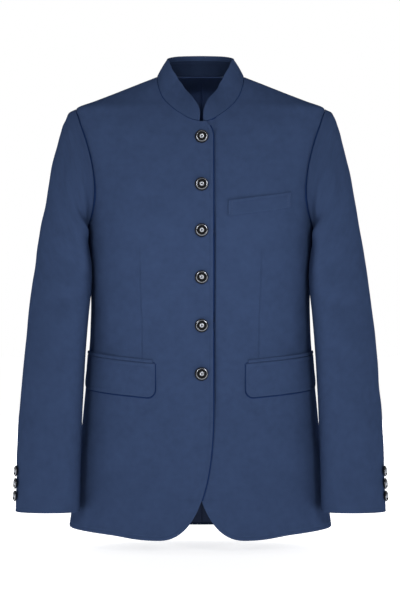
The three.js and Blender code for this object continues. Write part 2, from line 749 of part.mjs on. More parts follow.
function frontButton(number, z) {
  const turn = turnAtX(-CLOSING_X, z);
  const normal = torsoNormal(turn, z);
  const foot = torsoPoint(turn, z).addScaledVector(normal, LAP_LIFT);
  foot.x *= -1;
  normal.x *= -1;
  return placedButton(`front_button_${number}`, FRONT_BUTTON.radius, foot, normal);
}

const ROW_TOLERANCE = 1e-4;

function rowAtHeight(angle, z) {
  let low = 0;
  let high = SLEEVE_LAST;
  while (high - low > ROW_TOLERANCE) {
    const middle = (low + high) / 2;
    if (sleevePoint(angle, middle).z > z) low = middle;
    else high = middle;
  }
  return (low + high) / 2;
}

function cuffButton(side, number) {
  const z = CUFF_BUTTON.topZ - (number - 1) * CUFF_BUTTON.spacing;
  const row = rowAtHeight(CUFF_BUTTON_ANGLE, z);
  const foot = sleevePoint(CUFF_BUTTON_ANGLE, row);
  const normal = sleeveNormal(CUFF_BUTTON_ANGLE, row);
  foot.x *= side;
  normal.x *= side;
  const word = side < 0 ? 'right' : 'left';
  return placedButton(`cuff_button_${word}_${number}`, CUFF_BUTTON.radius, foot, normal);
}

// ---- The coat --------------------------------------------------------------------------------------

const MATERIALS = {
  wool: { color: 0x364665, roughness: 0.85, metalness: 0 },
  lining: { color: 0x0d1433, roughness: 0.35, metalness: 0 },
  button: { color: 0x6f7378, roughness: 0.3, metalness: 0.9 },
};

function material(kind) {
  return new THREE.MeshStandardMaterial(MATERIALS[kind]);
}

function piece(name, geometry, kind) {
  const mesh = new THREE.Mesh(geometry, material(kind));
  mesh.name = name;
  return mesh;
}

const RIGHT = -1;
const LEFT = 1;

const coat = new THREE.Group();
coat.name = 'prince_coat';
coat.add(
  piece('front_right', frontPanel(RIGHT, true), 'wool'),
  piece('front_left', frontPanel(LEFT, false), 'wool'),
  piece('collar_outer', collarOuter(), 'wool'),
  piece('collar_inner', collarInner(), 'wool'),
  piece('chest_welt', chestWelt(LEFT), 'wool'),
);
for (const [side, word] of [[RIGHT, 'right'], [LEFT, 'left']]) {
  coat.add(
    piece(`back_${word}`, backPanel(side), 'wool'),
    piece(`back_lining_${word}`, backLining(side), 'lining'),
    piece(`top_sleeve_${word}`, topSleeve(side), 'wool'),
    piece(`under_sleeve_${word}`, underSleeve(side), 'wool'),
    piece(`pocket_jet_${word}`, pocketJet(side), 'wool'),
    piece(`pocket_flap_${word}`, pocketFlap(side), 'wool'),
  );
  for (let number = 1; number <= CUFF_BUTTON.count; number += 1) coat.add(cuffButton(side, number));
}
FRONT_BUTTON.heights.forEach((z, i) => coat.add(frontButton(i + 1, z)));

export default coat;
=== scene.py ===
import math

import bpy
import numpy as np
from bpy.props import FloatProperty, FloatVectorProperty, PointerProperty
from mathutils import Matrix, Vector


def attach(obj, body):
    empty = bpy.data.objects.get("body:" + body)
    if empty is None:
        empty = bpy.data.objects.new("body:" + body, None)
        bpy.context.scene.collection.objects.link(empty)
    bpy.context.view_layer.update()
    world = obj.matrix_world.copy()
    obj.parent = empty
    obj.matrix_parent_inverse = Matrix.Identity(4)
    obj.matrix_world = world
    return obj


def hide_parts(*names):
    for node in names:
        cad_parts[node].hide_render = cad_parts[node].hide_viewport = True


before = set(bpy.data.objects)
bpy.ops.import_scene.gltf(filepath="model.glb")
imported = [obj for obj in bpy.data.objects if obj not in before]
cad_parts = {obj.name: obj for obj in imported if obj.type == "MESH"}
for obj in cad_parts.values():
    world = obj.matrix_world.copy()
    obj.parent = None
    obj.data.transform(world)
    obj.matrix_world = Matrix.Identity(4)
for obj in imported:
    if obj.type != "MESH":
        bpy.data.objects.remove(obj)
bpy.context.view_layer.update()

bl_info = {
    "name": "Prince coat",
    "version": (1, 0, 0),
    "blender": (4, 5, 0),
    "location": "View3D > Sidebar > Coat",
    "description": "Sews a closed-neck wool coat over its packed frame",
    "category": "Add Mesh",
}

RIGHT = -1
LEFT = 1
WORDS = {RIGHT: "right", LEFT: "left"}
MM = 0.001


def table(names, *rows):
    """Rows whose columns go by the names given."""
    return tuple(dict(zip(names.split(), row)) for row in rows)


# ---- Sizes, in millimetres, in the frame's axes -----------------------------------------------------

NECK_HALF = 72
SHOULDER_SLOPE = 0.395
SHOULDER_HALF = 205
ARMHOLE_TOP = -(SHOULDER_HALF - NECK_HALF) * SHOULDER_SLOPE
ARMHOLE_BOTTOM = -262
BACK_NECK_Z = 6
FRONT_NECK_Z = -80.6
HEM_FRONT_Z = -752
HEM_SIDE_RISE = 13
CLOSING_X = 1.8
LAP = 18.5
LAP_LIFT = 3.0
LAP_FADE = (26, 74)
UPPER_CORNER = {"reach": 9, "drop": 24}
UNDER_CORNER = {"reach": LAP, "drop": 1}
CUTAWAY_START_Z = -540
CUTAWAY_REACH = 72
CUTAWAY_POWER = 2.4
CUTAWAY_SPLIT = math.pi / 3
SIDE_SEAM = 1.06
CENTRE_BACK = 2
COLLAR_END_GAP = 6
COLLAR_CORNER = {"run": 16, "drop": 22}
LAID_GAP = 0.8
SEAM_GAP = 0.24

# The body's girth at each height.
TORSO = table(
    "z half front back square",
    (14, 45, 6, 57, 2.0),
    (6, 60, 10, 62, 2.0),
    (0, 72, 15, 66, 2.0),
    (-12, 102.4, 28, 73, 2.0),
    (-25, 135.3, 40.5, 81, 2.0),
    (-40, 173.3, 52, 89, 2.0),
    (ARMHOLE_TOP, SHOULDER_HALF, 62, 95, 2.0),
    (-60, 208.5, 67, 98, 2.0),
    (-80, 209, 80, 104, 2.02),
    (-110, 206, 93, 111, 2.06),
    (-150, 200, 107, 117, 2.14),
    (-190, 194.5, 117, 118.5, 2.2),
    (-225, 190, 121.5, 116, 2.26),
    (-262, 186.5, 122.5, 111, 2.3),
    (-310, 182.5, 119.5, 102, 2.34),
    (-350, 180.5, 116, 96, 2.36),
    (-390, 180.3, 114, 94, 2.36),
    (-430, 181.8, 113.5, 97, 2.36),
    (-492, 187, 116, 106, 2.36),
    (-560, 193.8, 120, 116, 2.34),
    (-660, 205.2, 126, 125, 2.32),
    (-739, 215.6, 129, 129, 2.3),
    (-765, 218.6, 130, 130, 2.3),
)

NECKLINE = table(
    "x z",
    (0, FRONT_NECK_Z),
    (15, -76.8),
    (31, -67.5),
    (48, -54),
    (60.5, -39.5),
    (67.5, -24),
    (70.8, -11),
    (NECK_HALF, 0),
)

ARMHOLE = {"front": 0.285, "back": 0.235, "front_skew": 0.38, "back_skew": 0.12}

SLEEVE = table(
    "row out_x out_z in_x in_z middle depth yaw",
    (0, 205, ARMHOLE_TOP, 186.8, -262, 4, 66, 0),
    (1, 216.5, -58.5, 187.6, -264, 3, 68, 3),
    (2, 225, -77, 187, -268, 1, 69, 8),
    (3, 234.5, -108, 183.5, -276, -2, 68, 14),
    (4, 246, -154, 178.5, -292, -6, 65, 20),
    (5, 258.5, -217, 176, -320, -11, 60, 27),
    (6, 270, -284, 177.5, -352, -17, 54, 33),
    (7, 279, -344, 181, -390, -24, 50, 35),
    (8, 286.5, -416, 185, -442, -33, 46.5, 33),
    (9, 292, -486, 188.2, -500, -42, 44, 29),
    (10, 296.5, -556, 191, -560, -50.5, 42, 25),
    (11, 299.7, -634, 193.2, -634, -59, 40, 21),
    (12, 301.8, -711.4, 194.6, -708.4, -67, 38.5, 18),
)
SLEEVE_LAST = 12
SLEEVE_SQUARE = 2.15
ARMHOLE_SLACK = 0.7
SLEEVE_SLACK = 2.6
ARMHOLE_FADE = 4
FORE_SEAM = -20
HIND_SEAM = table(
    "row angle",
    (0, 236),
    (6, 232),
    (9, 220),
    (12, 200),
)

COLLAR_SHAPE = table(
    "way lean height",
    (0, 24, 35),
    (0.1, 36, 42),
    (0.2, 44, 47.5),
    (0.3, 43, 43),
    (0.4, 38, 36.5),
    (0.5, 31, 35),
    (0.75, 22, 36.4),
    (1, 15, 36),
)

HIP_POCKET = {"front": 72.5, "back": 224, "top": -463.5, "rise": 0.086}
JET = {"inset": 4, "drop": 0.1, "width": 5.8, "belly": 0.5}
FLAP = {"drop": 6.3, "height": 55, "corner": 14}
CHEST_POCKET = {"front": 44, "back": 151, "top": -208.6, "rise": 0.14}
WELT = {"height": 26.0, "sunk": 0.5}

# Waist darts on the fronts: sideways place and height of each end.
DART = {"top_x": 98.5, "top_z": -281, "foot_x": 93.2, "foot_z": -462}


# ---- Curves and girths -------------------------------------------------------------------------------


def smooth_step(value, low, high):
    share = np.clip((np.asarray(value, float) - low) / (high - low), 0, 1)
    return share * share * (3 - 2 * share)


def hump(value, width):
    """A soft bump that is 1 where value is 0 and fades out over about twice the width."""
    return np.exp(-((value / width) ** 2))


def row_at(values, wanted):
    """The row whose value lies closest to the one wanted."""
    return int(np.argmin(np.abs(values - wanted)))


def blend(a, b, share):
    return a + (b - a) * share


def curve_through(rows, given, wanted):
    """A smooth curve through two columns of a table that never overshoots its rows."""
    ordered = sorted(rows, key=lambda row: row[given])
    xs = np.array([row[given] for row in ordered], float)
    ys = np.array([row[wanted] for row in ordered], float)
    slopes = np.diff(ys) / np.diff(xs)
    tangents = np.zeros(len(xs))
    tangents[0], tangents[-1] = slopes[0], slopes[-1]
    for i in range(1, len(xs) - 1):
        product = slopes[i - 1] * slopes[i]
        if product > 0:
            tangents[i] = 2 * product / (slopes[i - 1] + slopes[i])

    def at(value):
        value = np.asarray(value, float)
        i = np.clip(np.searchsorted(xs, value) - 1, 0, len(xs) - 2)
        width = xs[i + 1] - xs[i]
        t = np.clip((value - xs[i]) / width, 0, 1)
        u = 1 - t
        height = ys[i] * (1 + 2 * t) * u * u + ys[i + 1] * t * t * (3 - 2 * t)
        return height + width * (tangents[i] * t * u * u - tangents[i + 1] * t * t * u)

    return at


class Girths:
    """The body's outline at every height, with each quarter divided evenly along its length."""

    LOWEST = -800
    HIGHEST = 24
    SHARES = 321
    ANGLES = 601
    EASE = 11  # millimetres over which the table's steps are eased below the shoulders
    EASE_FROM = (95, 150)  # depths between which the easing sets in

    def __init__(self):
        self.heights = np.arange(self.LOWEST, self.HIGHEST + 1.0)
        columns = {}
        for name in ("half", "front", "back", "square"):
            columns[name] = self.eased(curve_through(TORSO, "z", name)(self.heights))
        self.half, self.square = columns["half"], columns["square"]
        self.depth = {"front": columns["front"], "back": columns["back"]}
        self.table = {side: self.quarter(self.depth[side]) for side in self.depth}

    def eased(self, values):
        reach = np.arange(-3 * self.EASE, 3 * self.EASE + 1)
        weights = np.exp(-0.5 * (reach / self.EASE) ** 2)
        padded = np.pad(values, 3 * self.EASE, mode="reflect", reflect_type="odd")
        soft = np.convolve(padded, weights / weights.sum(), mode="valid")
        return blend(values, soft, smooth_step(-self.heights, *self.EASE_FROM))

    def quarter(self, depth):
        angle = np.linspace(0, math.pi / 2, self.ANGLES)
        power = (2 / self.square)[:, None]
        x = self.half[:, None] * np.sin(angle)[None] ** power
        y = depth[:, None] * np.clip(np.cos(angle), 0, 1)[None] ** power
        y[:, -1] = 0
        steps = np.hypot(np.diff(x), np.diff(y))
        run = np.concatenate([np.zeros((len(x), 1)), np.cumsum(steps, 1)], 1)
        shares = np.linspace(0, 1, self.SHARES)
        even = np.empty((len(x), self.SHARES, 2))
        for row in range(len(x)):
            even[row, :, 0] = np.interp(shares * run[row, -1], run[row], x[row])
            even[row, :, 1] = np.interp(shares * run[row, -1], run[row], y[row])
        return even, run[:, -1]

    def rows(self, z):
        place = np.clip(np.asarray(z, float) - self.LOWEST, 0, len(self.heights) - 1.001)
        low = place.astype(int)
        return low, place - low

    def length(self, side, z):
        low, part = self.rows(z)
        run = self.table[side][1]
        return blend(run[low], run[low + 1], part)

    def at(self, side, share, z):
        table = self.table[side][0]
        low, part = self.rows(z)
        place = np.clip(share, 0, 1) * (self.SHARES - 1)
        left = np.minimum(place.astype(int), self.SHARES - 2)
        along = (place - left)[..., None]
        part = part[..., None]
        first = blend(table[low, left], table[low, left + 1], along)
        second = blend(table[low + 1, left], table[low + 1, left + 1], along)
        return blend(first, second, part)

    def share_at_x(self, x, z):
        low, part = self.rows(z)
        table = self.table["front"][0]
        row = blend(table[low, :, 0], table[low + 1, :, 0], part)
        return np.interp(abs(x), row, np.linspace(0, 1, self.SHARES))


GIRTHS = Girths()


def body_point(turn, z):
    """The body's outside on the +X side. turn runs from 0, the centre front, to 2, the centre back."""
    turn, z = np.broadcast_arrays(np.asarray(turn, float), np.asarray(z, float))
    crossed = (turn < 0) | (turn > CENTRE_BACK)
    own = np.where(turn < 0, -turn, np.where(turn > CENTRE_BACK, 2 * CENTRE_BACK - turn, turn))
    in_front = own <= 1
    front = GIRTHS.at("front", np.clip(own, 0, 1), z)
    back = GIRTHS.at("back", np.clip(CENTRE_BACK - own, 0, 1), z)
    x = np.where(in_front, front[..., 0], back[..., 0]) * np.where(crossed, -1, 1)
    y = np.where(in_front, -front[..., 1], back[..., 1])
    return np.stack([x, y, z], -1)


def unit(vectors):
    return vectors / np.linalg.norm(vectors, axis=-1, keepdims=True)


def outward_of(surface, a, b, step_a, step_b):
    along_a = surface(a + step_a, b) - surface(a - step_a, b)
    along_b = surface(a, b + step_b) - surface(a, b - step_b)
    return unit(np.cross(along_a, along_b))


# Steps over which a slope is measured: turns and millimetres, then degrees and rows.
BODY_SLOPE_STEPS = (0.02, 2.0)
SLEEVE_SLOPE_STEPS = (1.5, 0.05)


def body_normal(turn, z):
    return outward_of(body_point, np.asarray(turn, float), np.asarray(z, float), *BODY_SLOPE_STEPS)


def turn_at_x(x, z):
    return math.copysign(float(GIRTHS.share_at_x(x, z)), x)


def turn_at_length(length, z):
    return length / GIRTHS.length("front", z)


def girth_run(turn, z):
    """Millimetres round the body from the centre front."""
    front = GIRTHS.length("front", z)
    back = GIRTHS.length("back", z)
    return np.where(turn <= 1, turn * front, front + (turn - 1) * back)


def hem_z(turn):
    return HEM_FRONT_Z + HEM_SIDE_RISE * math.sin(turn * math.pi / 2) ** 2


def lap_lift(own_x):
    return LAP_LIFT * (1 - smooth_step(own_x, *LAP_FADE))


# ---- Borders of the panels ---------------------------------------------------------------------------

NECK_SHARE = 9 / 26
ARMHOLE_SHARE = 13 / 26
CORNER_SHARE = 3 / 12


def armhole_at(way, branch):
    angle = way * math.pi
    middle = (ARMHOLE_TOP + ARMHOLE_BOTTOM) / 2
    reach = (ARMHOLE_TOP - ARMHOLE_BOTTOM) / 2
    swing = ARMHOLE["front"] if branch < 0 else ARMHOLE["back"]
    skew = ARMHOLE["front_skew"] if branch < 0 else ARMHOLE["back_skew"]
    drift = (SIDE_SEAM - 1) * (1 - math.cos(angle)) / 2
    bulge = swing * math.sin(angle) * (1 - skew * math.cos(angle))
    return 1 + drift + branch * bulge, middle + reach * math.cos(angle)


def shoulder_at(u):
    return 1.0, blend(0, ARMHOLE_TOP, u)


def outer_border(branch):
    def at(v):
        if v <= ARMHOLE_SHARE:
            return armhole_at(v / ARMHOLE_SHARE, branch)
        way = (v - ARMHOLE_SHARE) / (1 - ARMHOLE_SHARE)
        return SIDE_SEAM, blend(ARMHOLE_BOTTOM, hem_z(SIDE_SEAM), way)

    return at


NECK_STEPS = len(NECKLINE) - 1
neck_x = curve_through([{"way": i / NECK_STEPS, "x": row["x"]} for i, row in enumerate(NECKLINE)], "way", "x")
neck_z = curve_through(NECKLINE, "x", "z")


def front_neck_at(way, end_x):
    if way <= 0:
        return 1.0, 0.0
    x = max(float(neck_x(1 - way)), 0) + end_x * way
    z = float(neck_z(max(x, 0)))
    return turn_at_x(x, z), z


def cutaway_at(angle, closing):
    along = math.sin(angle) ** (2 / CUTAWAY_POWER)
    across = max(math.cos(angle), 0) ** (2 / CUTAWAY_POWER)
    x = closing + CUTAWAY_REACH - (CUTAWAY_REACH + LAP) * across
    z = blend(CUTAWAY_START_Z, HEM_FRONT_Z, along)
    return turn_at_x(x, z), z


def front_borders(closing, corner):
    edge_x = closing - LAP
    corner_x = closing - corner["reach"]
    lowest = cutaway_at(CUTAWAY_SPLIT, closing)[1]

    def inner(v):
        if v <= NECK_SHARE:
            return front_neck_at(v / NECK_SHARE, corner_x)
        z = blend(FRONT_NECK_Z, lowest, (v - NECK_SHARE) / (1 - NECK_SHARE))
        if z > CUTAWAY_START_Z:
            round_off = float(smooth_step(-z, -FRONT_NECK_Z, -FRONT_NECK_Z + corner["drop"]))
            return turn_at_x(blend(corner_x, edge_x, math.sqrt(round_off)), z), z
        along = (z - CUTAWAY_START_Z) / (HEM_FRONT_Z - CUTAWAY_START_Z)
        return cutaway_at(math.asin(along ** (CUTAWAY_POWER / 2)), closing)

    def bottom(u):
        if u < CORNER_SHARE:
            return cutaway_at(blend(CUTAWAY_SPLIT, math.pi / 2, u / CORNER_SHARE), closing)
        start = cutaway_at(math.pi / 2, closing)[0]
        turn = blend(start, SIDE_SEAM, (u - CORNER_SHARE) / (1 - CORNER_SHARE))
        settle = 1 - float(smooth_step(u, CORNER_SHARE, 2 * CORNER_SHARE))
        return turn, blend(hem_z(turn), HEM_FRONT_Z, settle)

    return {"top": shoulder_at, "bottom": bottom, "inner": inner, "outer": outer_border(-1)}


def back_neck_z(share):
    return BACK_NECK_Z * math.sin(share * math.pi / 2)


def back_inner(v):
    if v <= NECK_SHARE:
        return 1 + v / NECK_SHARE, back_neck_z(v / NECK_SHARE)
    way = (v - NECK_SHARE) / (1 - NECK_SHARE)
    return CENTRE_BACK, blend(BACK_NECK_Z, HEM_FRONT_Z, way)


def back_bottom(u):
    turn = blend(CENTRE_BACK, SIDE_SEAM, u)
    return turn, hem_z(turn)


BACK_BORDERS = {"top": shoulder_at, "bottom": back_bottom, "inner": back_inner, "outer": outer_border(1)}


def fill_borders(borders, us, vs):
    """Places inside four borders, as turns and heights. us holds a row of shares for each of vs."""
    top = np.array([[borders["top"](u) for u in row] for row in us])
    bottom = np.array([[borders["bottom"](u) for u in row] for row in us])
    inner = np.array([borders["inner"](v) for v in vs])[:, None]
    outer = np.array([borders["outer"](v) for v in vs])[:, None]
    u = us[..., None]
    v = vs[:, None, None]
    across = blend(inner, outer, u)
    along = blend(top, bottom, v)
    low = blend(np.array(borders["top"](0)), np.array(borders["top"](1)), u)
    high = blend(np.array(borders["bottom"](0)), np.array(borders["bottom"](1)), u)
    filled = across + along - blend(low, high, v)
    return filled[..., 0], filled[..., 1]


# Millimetres from a piece's edge at which its grid has extra lines, and the share of its size they may take.
EDGE_STEPS = (0.12, 0.35, 0.7, 1.2, 1.9, 2.8, 3.8, 4.8, 5.4, 6.0, 6.6, 7.4, 8.6)
EDGE_SHARE = 0.45
STEP_SPARE = 0.25  # share of a step by which a gap may be wider before it is split


def shares_between(stops, size, step, crowd_end=True, extra=()):
    """Shares from 0 to 1 that take in every stop, about step apart, closer together at the ends."""
    offsets = [offset / size for offset in EDGE_STEPS if offset < EDGE_SHARE * size]
    shares = {0.0, 1.0, *stops, *extra, *offsets}
    if crowd_end:
        shares |= {1 - offset for offset in offsets}
    known = sorted(shares)
    result = []
    for a, b in zip(known, known[1:]):
        pieces = max(1, math.ceil((b - a) * size / step - STEP_SPARE))
        result.extend(a + (b - a) * k / pieces for k in range(pieces))
    return np.array(result + [1.0])


# ---- Soft creases ------------------------------------------------------------------------------------

# Ridges and troughs on the body: millimetres round from the centre front and height of both ends, then
# width and rise. The first rows lie on the fronts, the last on the backs.
BODY_CREASES = table(
    "ax ay bx by width rise",
    (196, -275, 128, -352, 15, -1.5),
    (206, -300, 150, -385, 13, 1.1),
    (150, -176, 112, -268, 17, 1.1),
    (162, -205, 134, -290, 12, -1.1),
    (16, -96, 86, -150, 13, -0.7),
    (24, -88, 118, -112, 14, 0.7),
    (245, -372, 168, -398, 10, -1.2),
    (250, -396, 190, -418, 9, 1.0),
    (10, -335, 66, -352, 10, -0.6),
    (10, -412, 70, -398, 10, -0.6),
    (12, -372, 74, -376, 12, 0.5),
    (40, -560, 60, -730, 26, 1.2),
    (120, -540, 132, -740, 30, -1.2),
    (205, -530, 214, -738, 28, 1.4),
    (330, -252, 352, -352, 17, -1.8),
    (312, -280, 330, -372, 15, 1.4),
    (300, -376, 420, -386, 11, -1.6),
    (286, -398, 402, -412, 11, 1.3),
    (330, -424, 440, -420, 10, -1.1),
    (390, -60, 448, -86, 13, -1.0),
    (360, -140, 384, -300, 30, 1.6),
    (418, -190, 426, -360, 28, -1.5),
    (300, -500, 296, -735, 30, 1.8),
    (352, -470, 350, -738, 32, -1.8),
    (410, -480, 418, -736, 30, 1.5),
)

# The same on the sleeves: angle and row of both ends.
SLEEVE_CREASES = table(
    "ax ay bx by width rise",
    (40, 5.2, 120, 6.1, 13, -2.0),
    (52, 5.9, 132, 6.9, 12, 1.5),
    (36, 6.6, 112, 7.3, 12, -1.9),
    (60, 7.4, 126, 8.0, 11, 1.2),
    (30, 7.7, 90, 8.4, 11, -1.3),
    (80, 0.9, 66, 5.0, 13, 2.4),
    (120, 0.8, 96, 5.2, 12, -4.0),
    (66, 2.4, 58, 5.0, 11, -1.2),
    (96, 8.6, 104, 11.6, 21, 1.4),
    (134, 7.2, 132, 11.4, 19, -1.3),
    (60, 8.8, 58, 11.5, 17, -1.1),
    (176, 3.0, 186, 6.0, 22, 0.5),
    (42, 2.6, 38, 5.9, 17, 10.0),
    (240, 4.6, 310, 5.6, 13, -1.8),
    (232, 5.6, 300, 6.6, 12, 1.5),
    (250, 6.6, 316, 7.2, 12, -1.6),
    (286, 1.5, 276, 4.4, 20, -1.4),
    (256, 1.6, 246, 4.4, 20, 1.4),
    (268, 8.6, 262, 11.6, 18, 1.2),
)
SLEEVE_DEGREE = 0.92  # millimetres round the sleeve for each degree
SLEEVE_ROW = 57  # millimetres down the sleeve for each row
CREASE = {"bend": 0.07, "uneven": 0.22, "uneven_run": 19, "start": (-0.12, 0.32), "end": (0.6, 1.14)}
WAVES = {"count": 12, "long": (46, 120), "short": (20, 46), "middle": 80, "power": 1.3, "sum": 2.2}


def crease_rise(x, y, creases, scale=(1, 1), mirror_shift=0.0):
    """Sum of soft ridges and troughs, each fading out at its ends and a little uneven along its run."""
    total = np.zeros(np.broadcast(x, y).shape)
    for number, crease in enumerate(creases):
        ax, bx = crease["ax"] * scale[0], crease["bx"] * scale[0]
        ay, by = crease["ay"] * scale[1] + mirror_shift, crease["by"] * scale[1] + mirror_shift
        length = math.hypot(bx - ax, by - ay)
        ux, uy = (bx - ax) / length, (by - ay) / length
        along = (x - ax) * ux + (y - ay) * uy
        bend = CREASE["bend"] * length * np.sin(along / length * math.pi) * (1 if number % 2 else -1)
        across = (y - ay) * ux - (x - ax) * uy - bend
        ends = smooth_step(along, *(share * length for share in CREASE["start"]))
        ends = ends * (1 - smooth_step(along, *(share * length for share in CREASE["end"])))
        uneven = 1 + CREASE["uneven"] * np.sin(along / CREASE["uneven_run"] + 2.1 * number)
        total += crease["rise"] * ends * uneven * hump(across, crease["width"])
    return total


def slow_waves(x, y, seed, size):
    """Very soft unevenness, as pressed cloth keeps."""
    random = np.random.default_rng(seed)
    total = np.zeros(np.broadcast(x, y).shape)
    for number in range(WAVES["count"]):
        length = random.uniform(*WAVES["long" if number % 2 else "short"])
        heading = random.uniform(0, math.pi)
        phase = random.uniform(0, 2 * math.pi)
        wave = np.sin((x * math.cos(heading) + y * math.sin(heading)) * 2 * math.pi / length + phase)
        total += wave * (length / WAVES["middle"]) ** WAVES["power"]
    return total * size / WAVES["sum"]


# ---- Making cloth ------------------------------------------------------------------------------------

FAR = 40.0  # millimetres, beyond which an edge no longer matters
BLOCK = 4000  # points measured at once
EDGE_ROUND = 0.55  # a folded edge's radius as a share of the wall
EDGE_LEAST = 0.1  # share of the wall that is left at a folded edge
SEAM_ROUND = 1.7
PANEL_DIP = 0.7
SLEEVE_DIP = 0.5
ARMHOLE_DIP = {"deep": 1.3, "shallow": 0.5, "round": 3.4, "from": 12, "to": 75}
SEAM_FILL = {"radius": 0.75, "depth": 1.15}
ARMHOLE_FILL = {"radius": 0.75, "depth": 1.0}


def distance_to_line(points, line):
    """How far each point is from a run of straight pieces."""
    flat = points.reshape(-1, 3)
    best = np.empty(len(flat))
    start, end = line[:-1], line[1:]
    run = end - start
    square = np.maximum((run * run).sum(-1), 1e-12)
    for first in range(0, len(flat), BLOCK):
        from_start = flat[first:first + BLOCK][:, None] - start[None]
        share = np.clip((from_start * run[None]).sum(-1) / square, 0, 1)
        gap = from_start - share[..., None] * run[None]
        best[first:first + BLOCK] = np.sqrt((gap * gap).sum(-1)).min(1)
    return best.reshape(points.shape[:-1])


def whole(*names):
    return [(name, 0, 1) for name in names]


def edge_gaps(points, seams, folds):
    """How far each point is from a grid's sewn and folded sides, each given with two shares of its length."""
    sides = {"top": points[0], "bottom": points[-1], "inner": points[:, 0], "outer": points[:, -1]}

    def nearest(entries):
        best = np.full(points.shape[:-1], FAR)
        for name, start, end in entries:
            last = len(sides[name]) - 1
            line = sides[name][round(start * last):round(end * last) + 1]
            if len(line) > 1:
                best = np.minimum(best, distance_to_line(points, line))
        return best

    return nearest(seams), nearest(folds)


def quarter_round(distance, radius):
    short = np.clip(1 - distance / radius, 0, 1)
    return np.sqrt(np.clip(1 - short * short, 0, 1))


def draw_in(points):
    """Draws a grid's four sides in, so that sewn pieces stay apart."""
    drawn = points.copy()
    every = slice(None)
    for side, inside in (((every, 0), (every, 1)), ((every, -1), (every, -2)),
                         ((0, every), (1, every)), ((-1, every), (-2, every))):
        step = points[inside] - points[side]
        size = np.maximum(np.linalg.norm(step, axis=-1, keepdims=True), 1e-6)
        drawn[side] = drawn[side] + step / size * np.minimum(SEAM_GAP / 2, 0.45 * size)
    return drawn


def make_object(name, vertices, faces, finishes, slots=None, cloth=None):
    mesh = bpy.data.meshes.new(name)
    mesh.from_pydata((np.asarray(vertices, float) * MM).tolist(), [], [list(face) for face in faces])
    for finish in finishes:
        mesh.materials.append(finish_named(finish))
    mesh.polygons.foreach_set("use_smooth", np.ones(len(mesh.polygons), bool))
    if slots is not None:
        mesh.polygons.foreach_set("material_index", np.asarray(slots, np.int32))
    if cloth is not None:
        lie = mesh.attributes.new("cloth", "FLOAT_VECTOR", "POINT")
        lie.data.foreach_set("vector", (np.asarray(cloth, np.float32) * MM).ravel())
    mesh.update()
    made = bpy.data.objects.new(name, mesh)
    bpy.context.scene.collection.objects.link(made)
    return made


def signed_volume(vertices, faces):
    a, b, c, d = (vertices[faces[:, k]] for k in range(4))
    return float((a * np.cross(b, c)).sum() + (a * np.cross(c, d)).sum())


def mirrored(grid, side):
    result = grid.copy()
    result[..., 0] *= side
    return result


def shell(name, walls, across, along, finishes, inner_slot=None, side=LEFT):
    """A closed piece of cloth between two grids that are given for the left side.

    across and along are each point's place on the flat cloth, inner_slot the finish of each inner face."""
    outer, inner = (mirrored(grid, side) for grid in walls)
    rows, columns = outer.shape[:2]
    size = rows * columns
    index = np.arange(size).reshape(rows, columns)
    quads = np.stack([index[:-1, :-1], index[:-1, 1:], index[1:, 1:], index[1:, :-1]], -1).reshape(-1, 4)
    under = quads[:, ::-1] + size
    rims = []
    for line in (index[0, ::-1], index[:, 0], index[-1], index[::-1, -1]):
        a, b = line[:-1], line[1:]
        rims.append(np.stack([a, b, b + size, a + size], -1))
    rim = np.concatenate(rims)
    faces = np.concatenate([quads, under, rim])
    vertices = np.concatenate([outer.reshape(-1, 3), inner.reshape(-1, 3)])
    inside = np.zeros(len(under), int) if inner_slot is None else inner_slot[:-1, :-1].reshape(-1)
    slots = np.concatenate([np.zeros(len(quads), int), inside, np.zeros(len(rim), int)])
    if signed_volume(vertices, faces) < 0:
        faces = faces[:, ::-1]
    lie = np.stack(np.broadcast_arrays(across, along, np.zeros((rows, columns))), -1).reshape(-1, 3)
    return make_object(name, vertices, faces, finishes, slots, np.concatenate([lie, lie]))


def dressed(made, nodes=()):
    """Makes a finished piece ride on the coat and stand for its nodes."""
    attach(made, "root")
    if nodes:
        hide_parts(*nodes)
    return made


def thickness_grids(points, normals, out, wall, gaps, seam_dip, seam_round=SEAM_ROUND):
    """Outer and inner grids of a wall: sewn sides dip in, folded sides are rounded to an edge."""
    seam_gap, fold_gap = gaps
    fold = np.maximum(quarter_round(fold_gap, wall * EDGE_ROUND), EDGE_LEAST)
    dip = seam_dip * (1 - quarter_round(seam_gap, seam_round))
    middle = out - wall / 2
    outer = points + normals * (middle + wall / 2 * fold - dip)[..., None]
    inner = points + normals * (middle - wall / 2 * fold)[..., None]
    return outer, inner


def armhole_groove(points, armhole):
    """How far a panel sinks towards the armhole seam, less at the shoulder's tip."""
    line = points[:armhole + 1, -1]
    from_tip = np.linalg.norm(points - line[0], axis=-1)
    share = smooth_step(from_tip, ARMHOLE_DIP["from"], ARMHOLE_DIP["to"])
    deep = blend(ARMHOLE_DIP["shallow"], ARMHOLE_DIP["deep"], share)
    return deep * hump(distance_to_line(points, line), ARMHOLE_DIP["round"])


def fill_seam(name, line, normals, side, fill=SEAM_FILL):
    """The turned edges of the cloth that lie at the bottom of a seam, dark tubes coloured as painted seam
    shade.
    """
    rings, faces = tube_along(line - normals * fill["depth"], fill["radius"])
    return dressed(make_object(name, rings * (side, 1, 1), faces, ["seam_shade_wool"]))


# The tape inside the armhole: how far it reaches over the body, and how deep each of its rows lies.
TAPE = {"points": 181, "reach": 1.07, "sleeve_row": 0.13, "lean_row": 0.6, "wall": 0.5}
TAPE_DEPTH = {"on_body": 2.6, "at_seam": 2.5, "on_sleeve": 2.4}


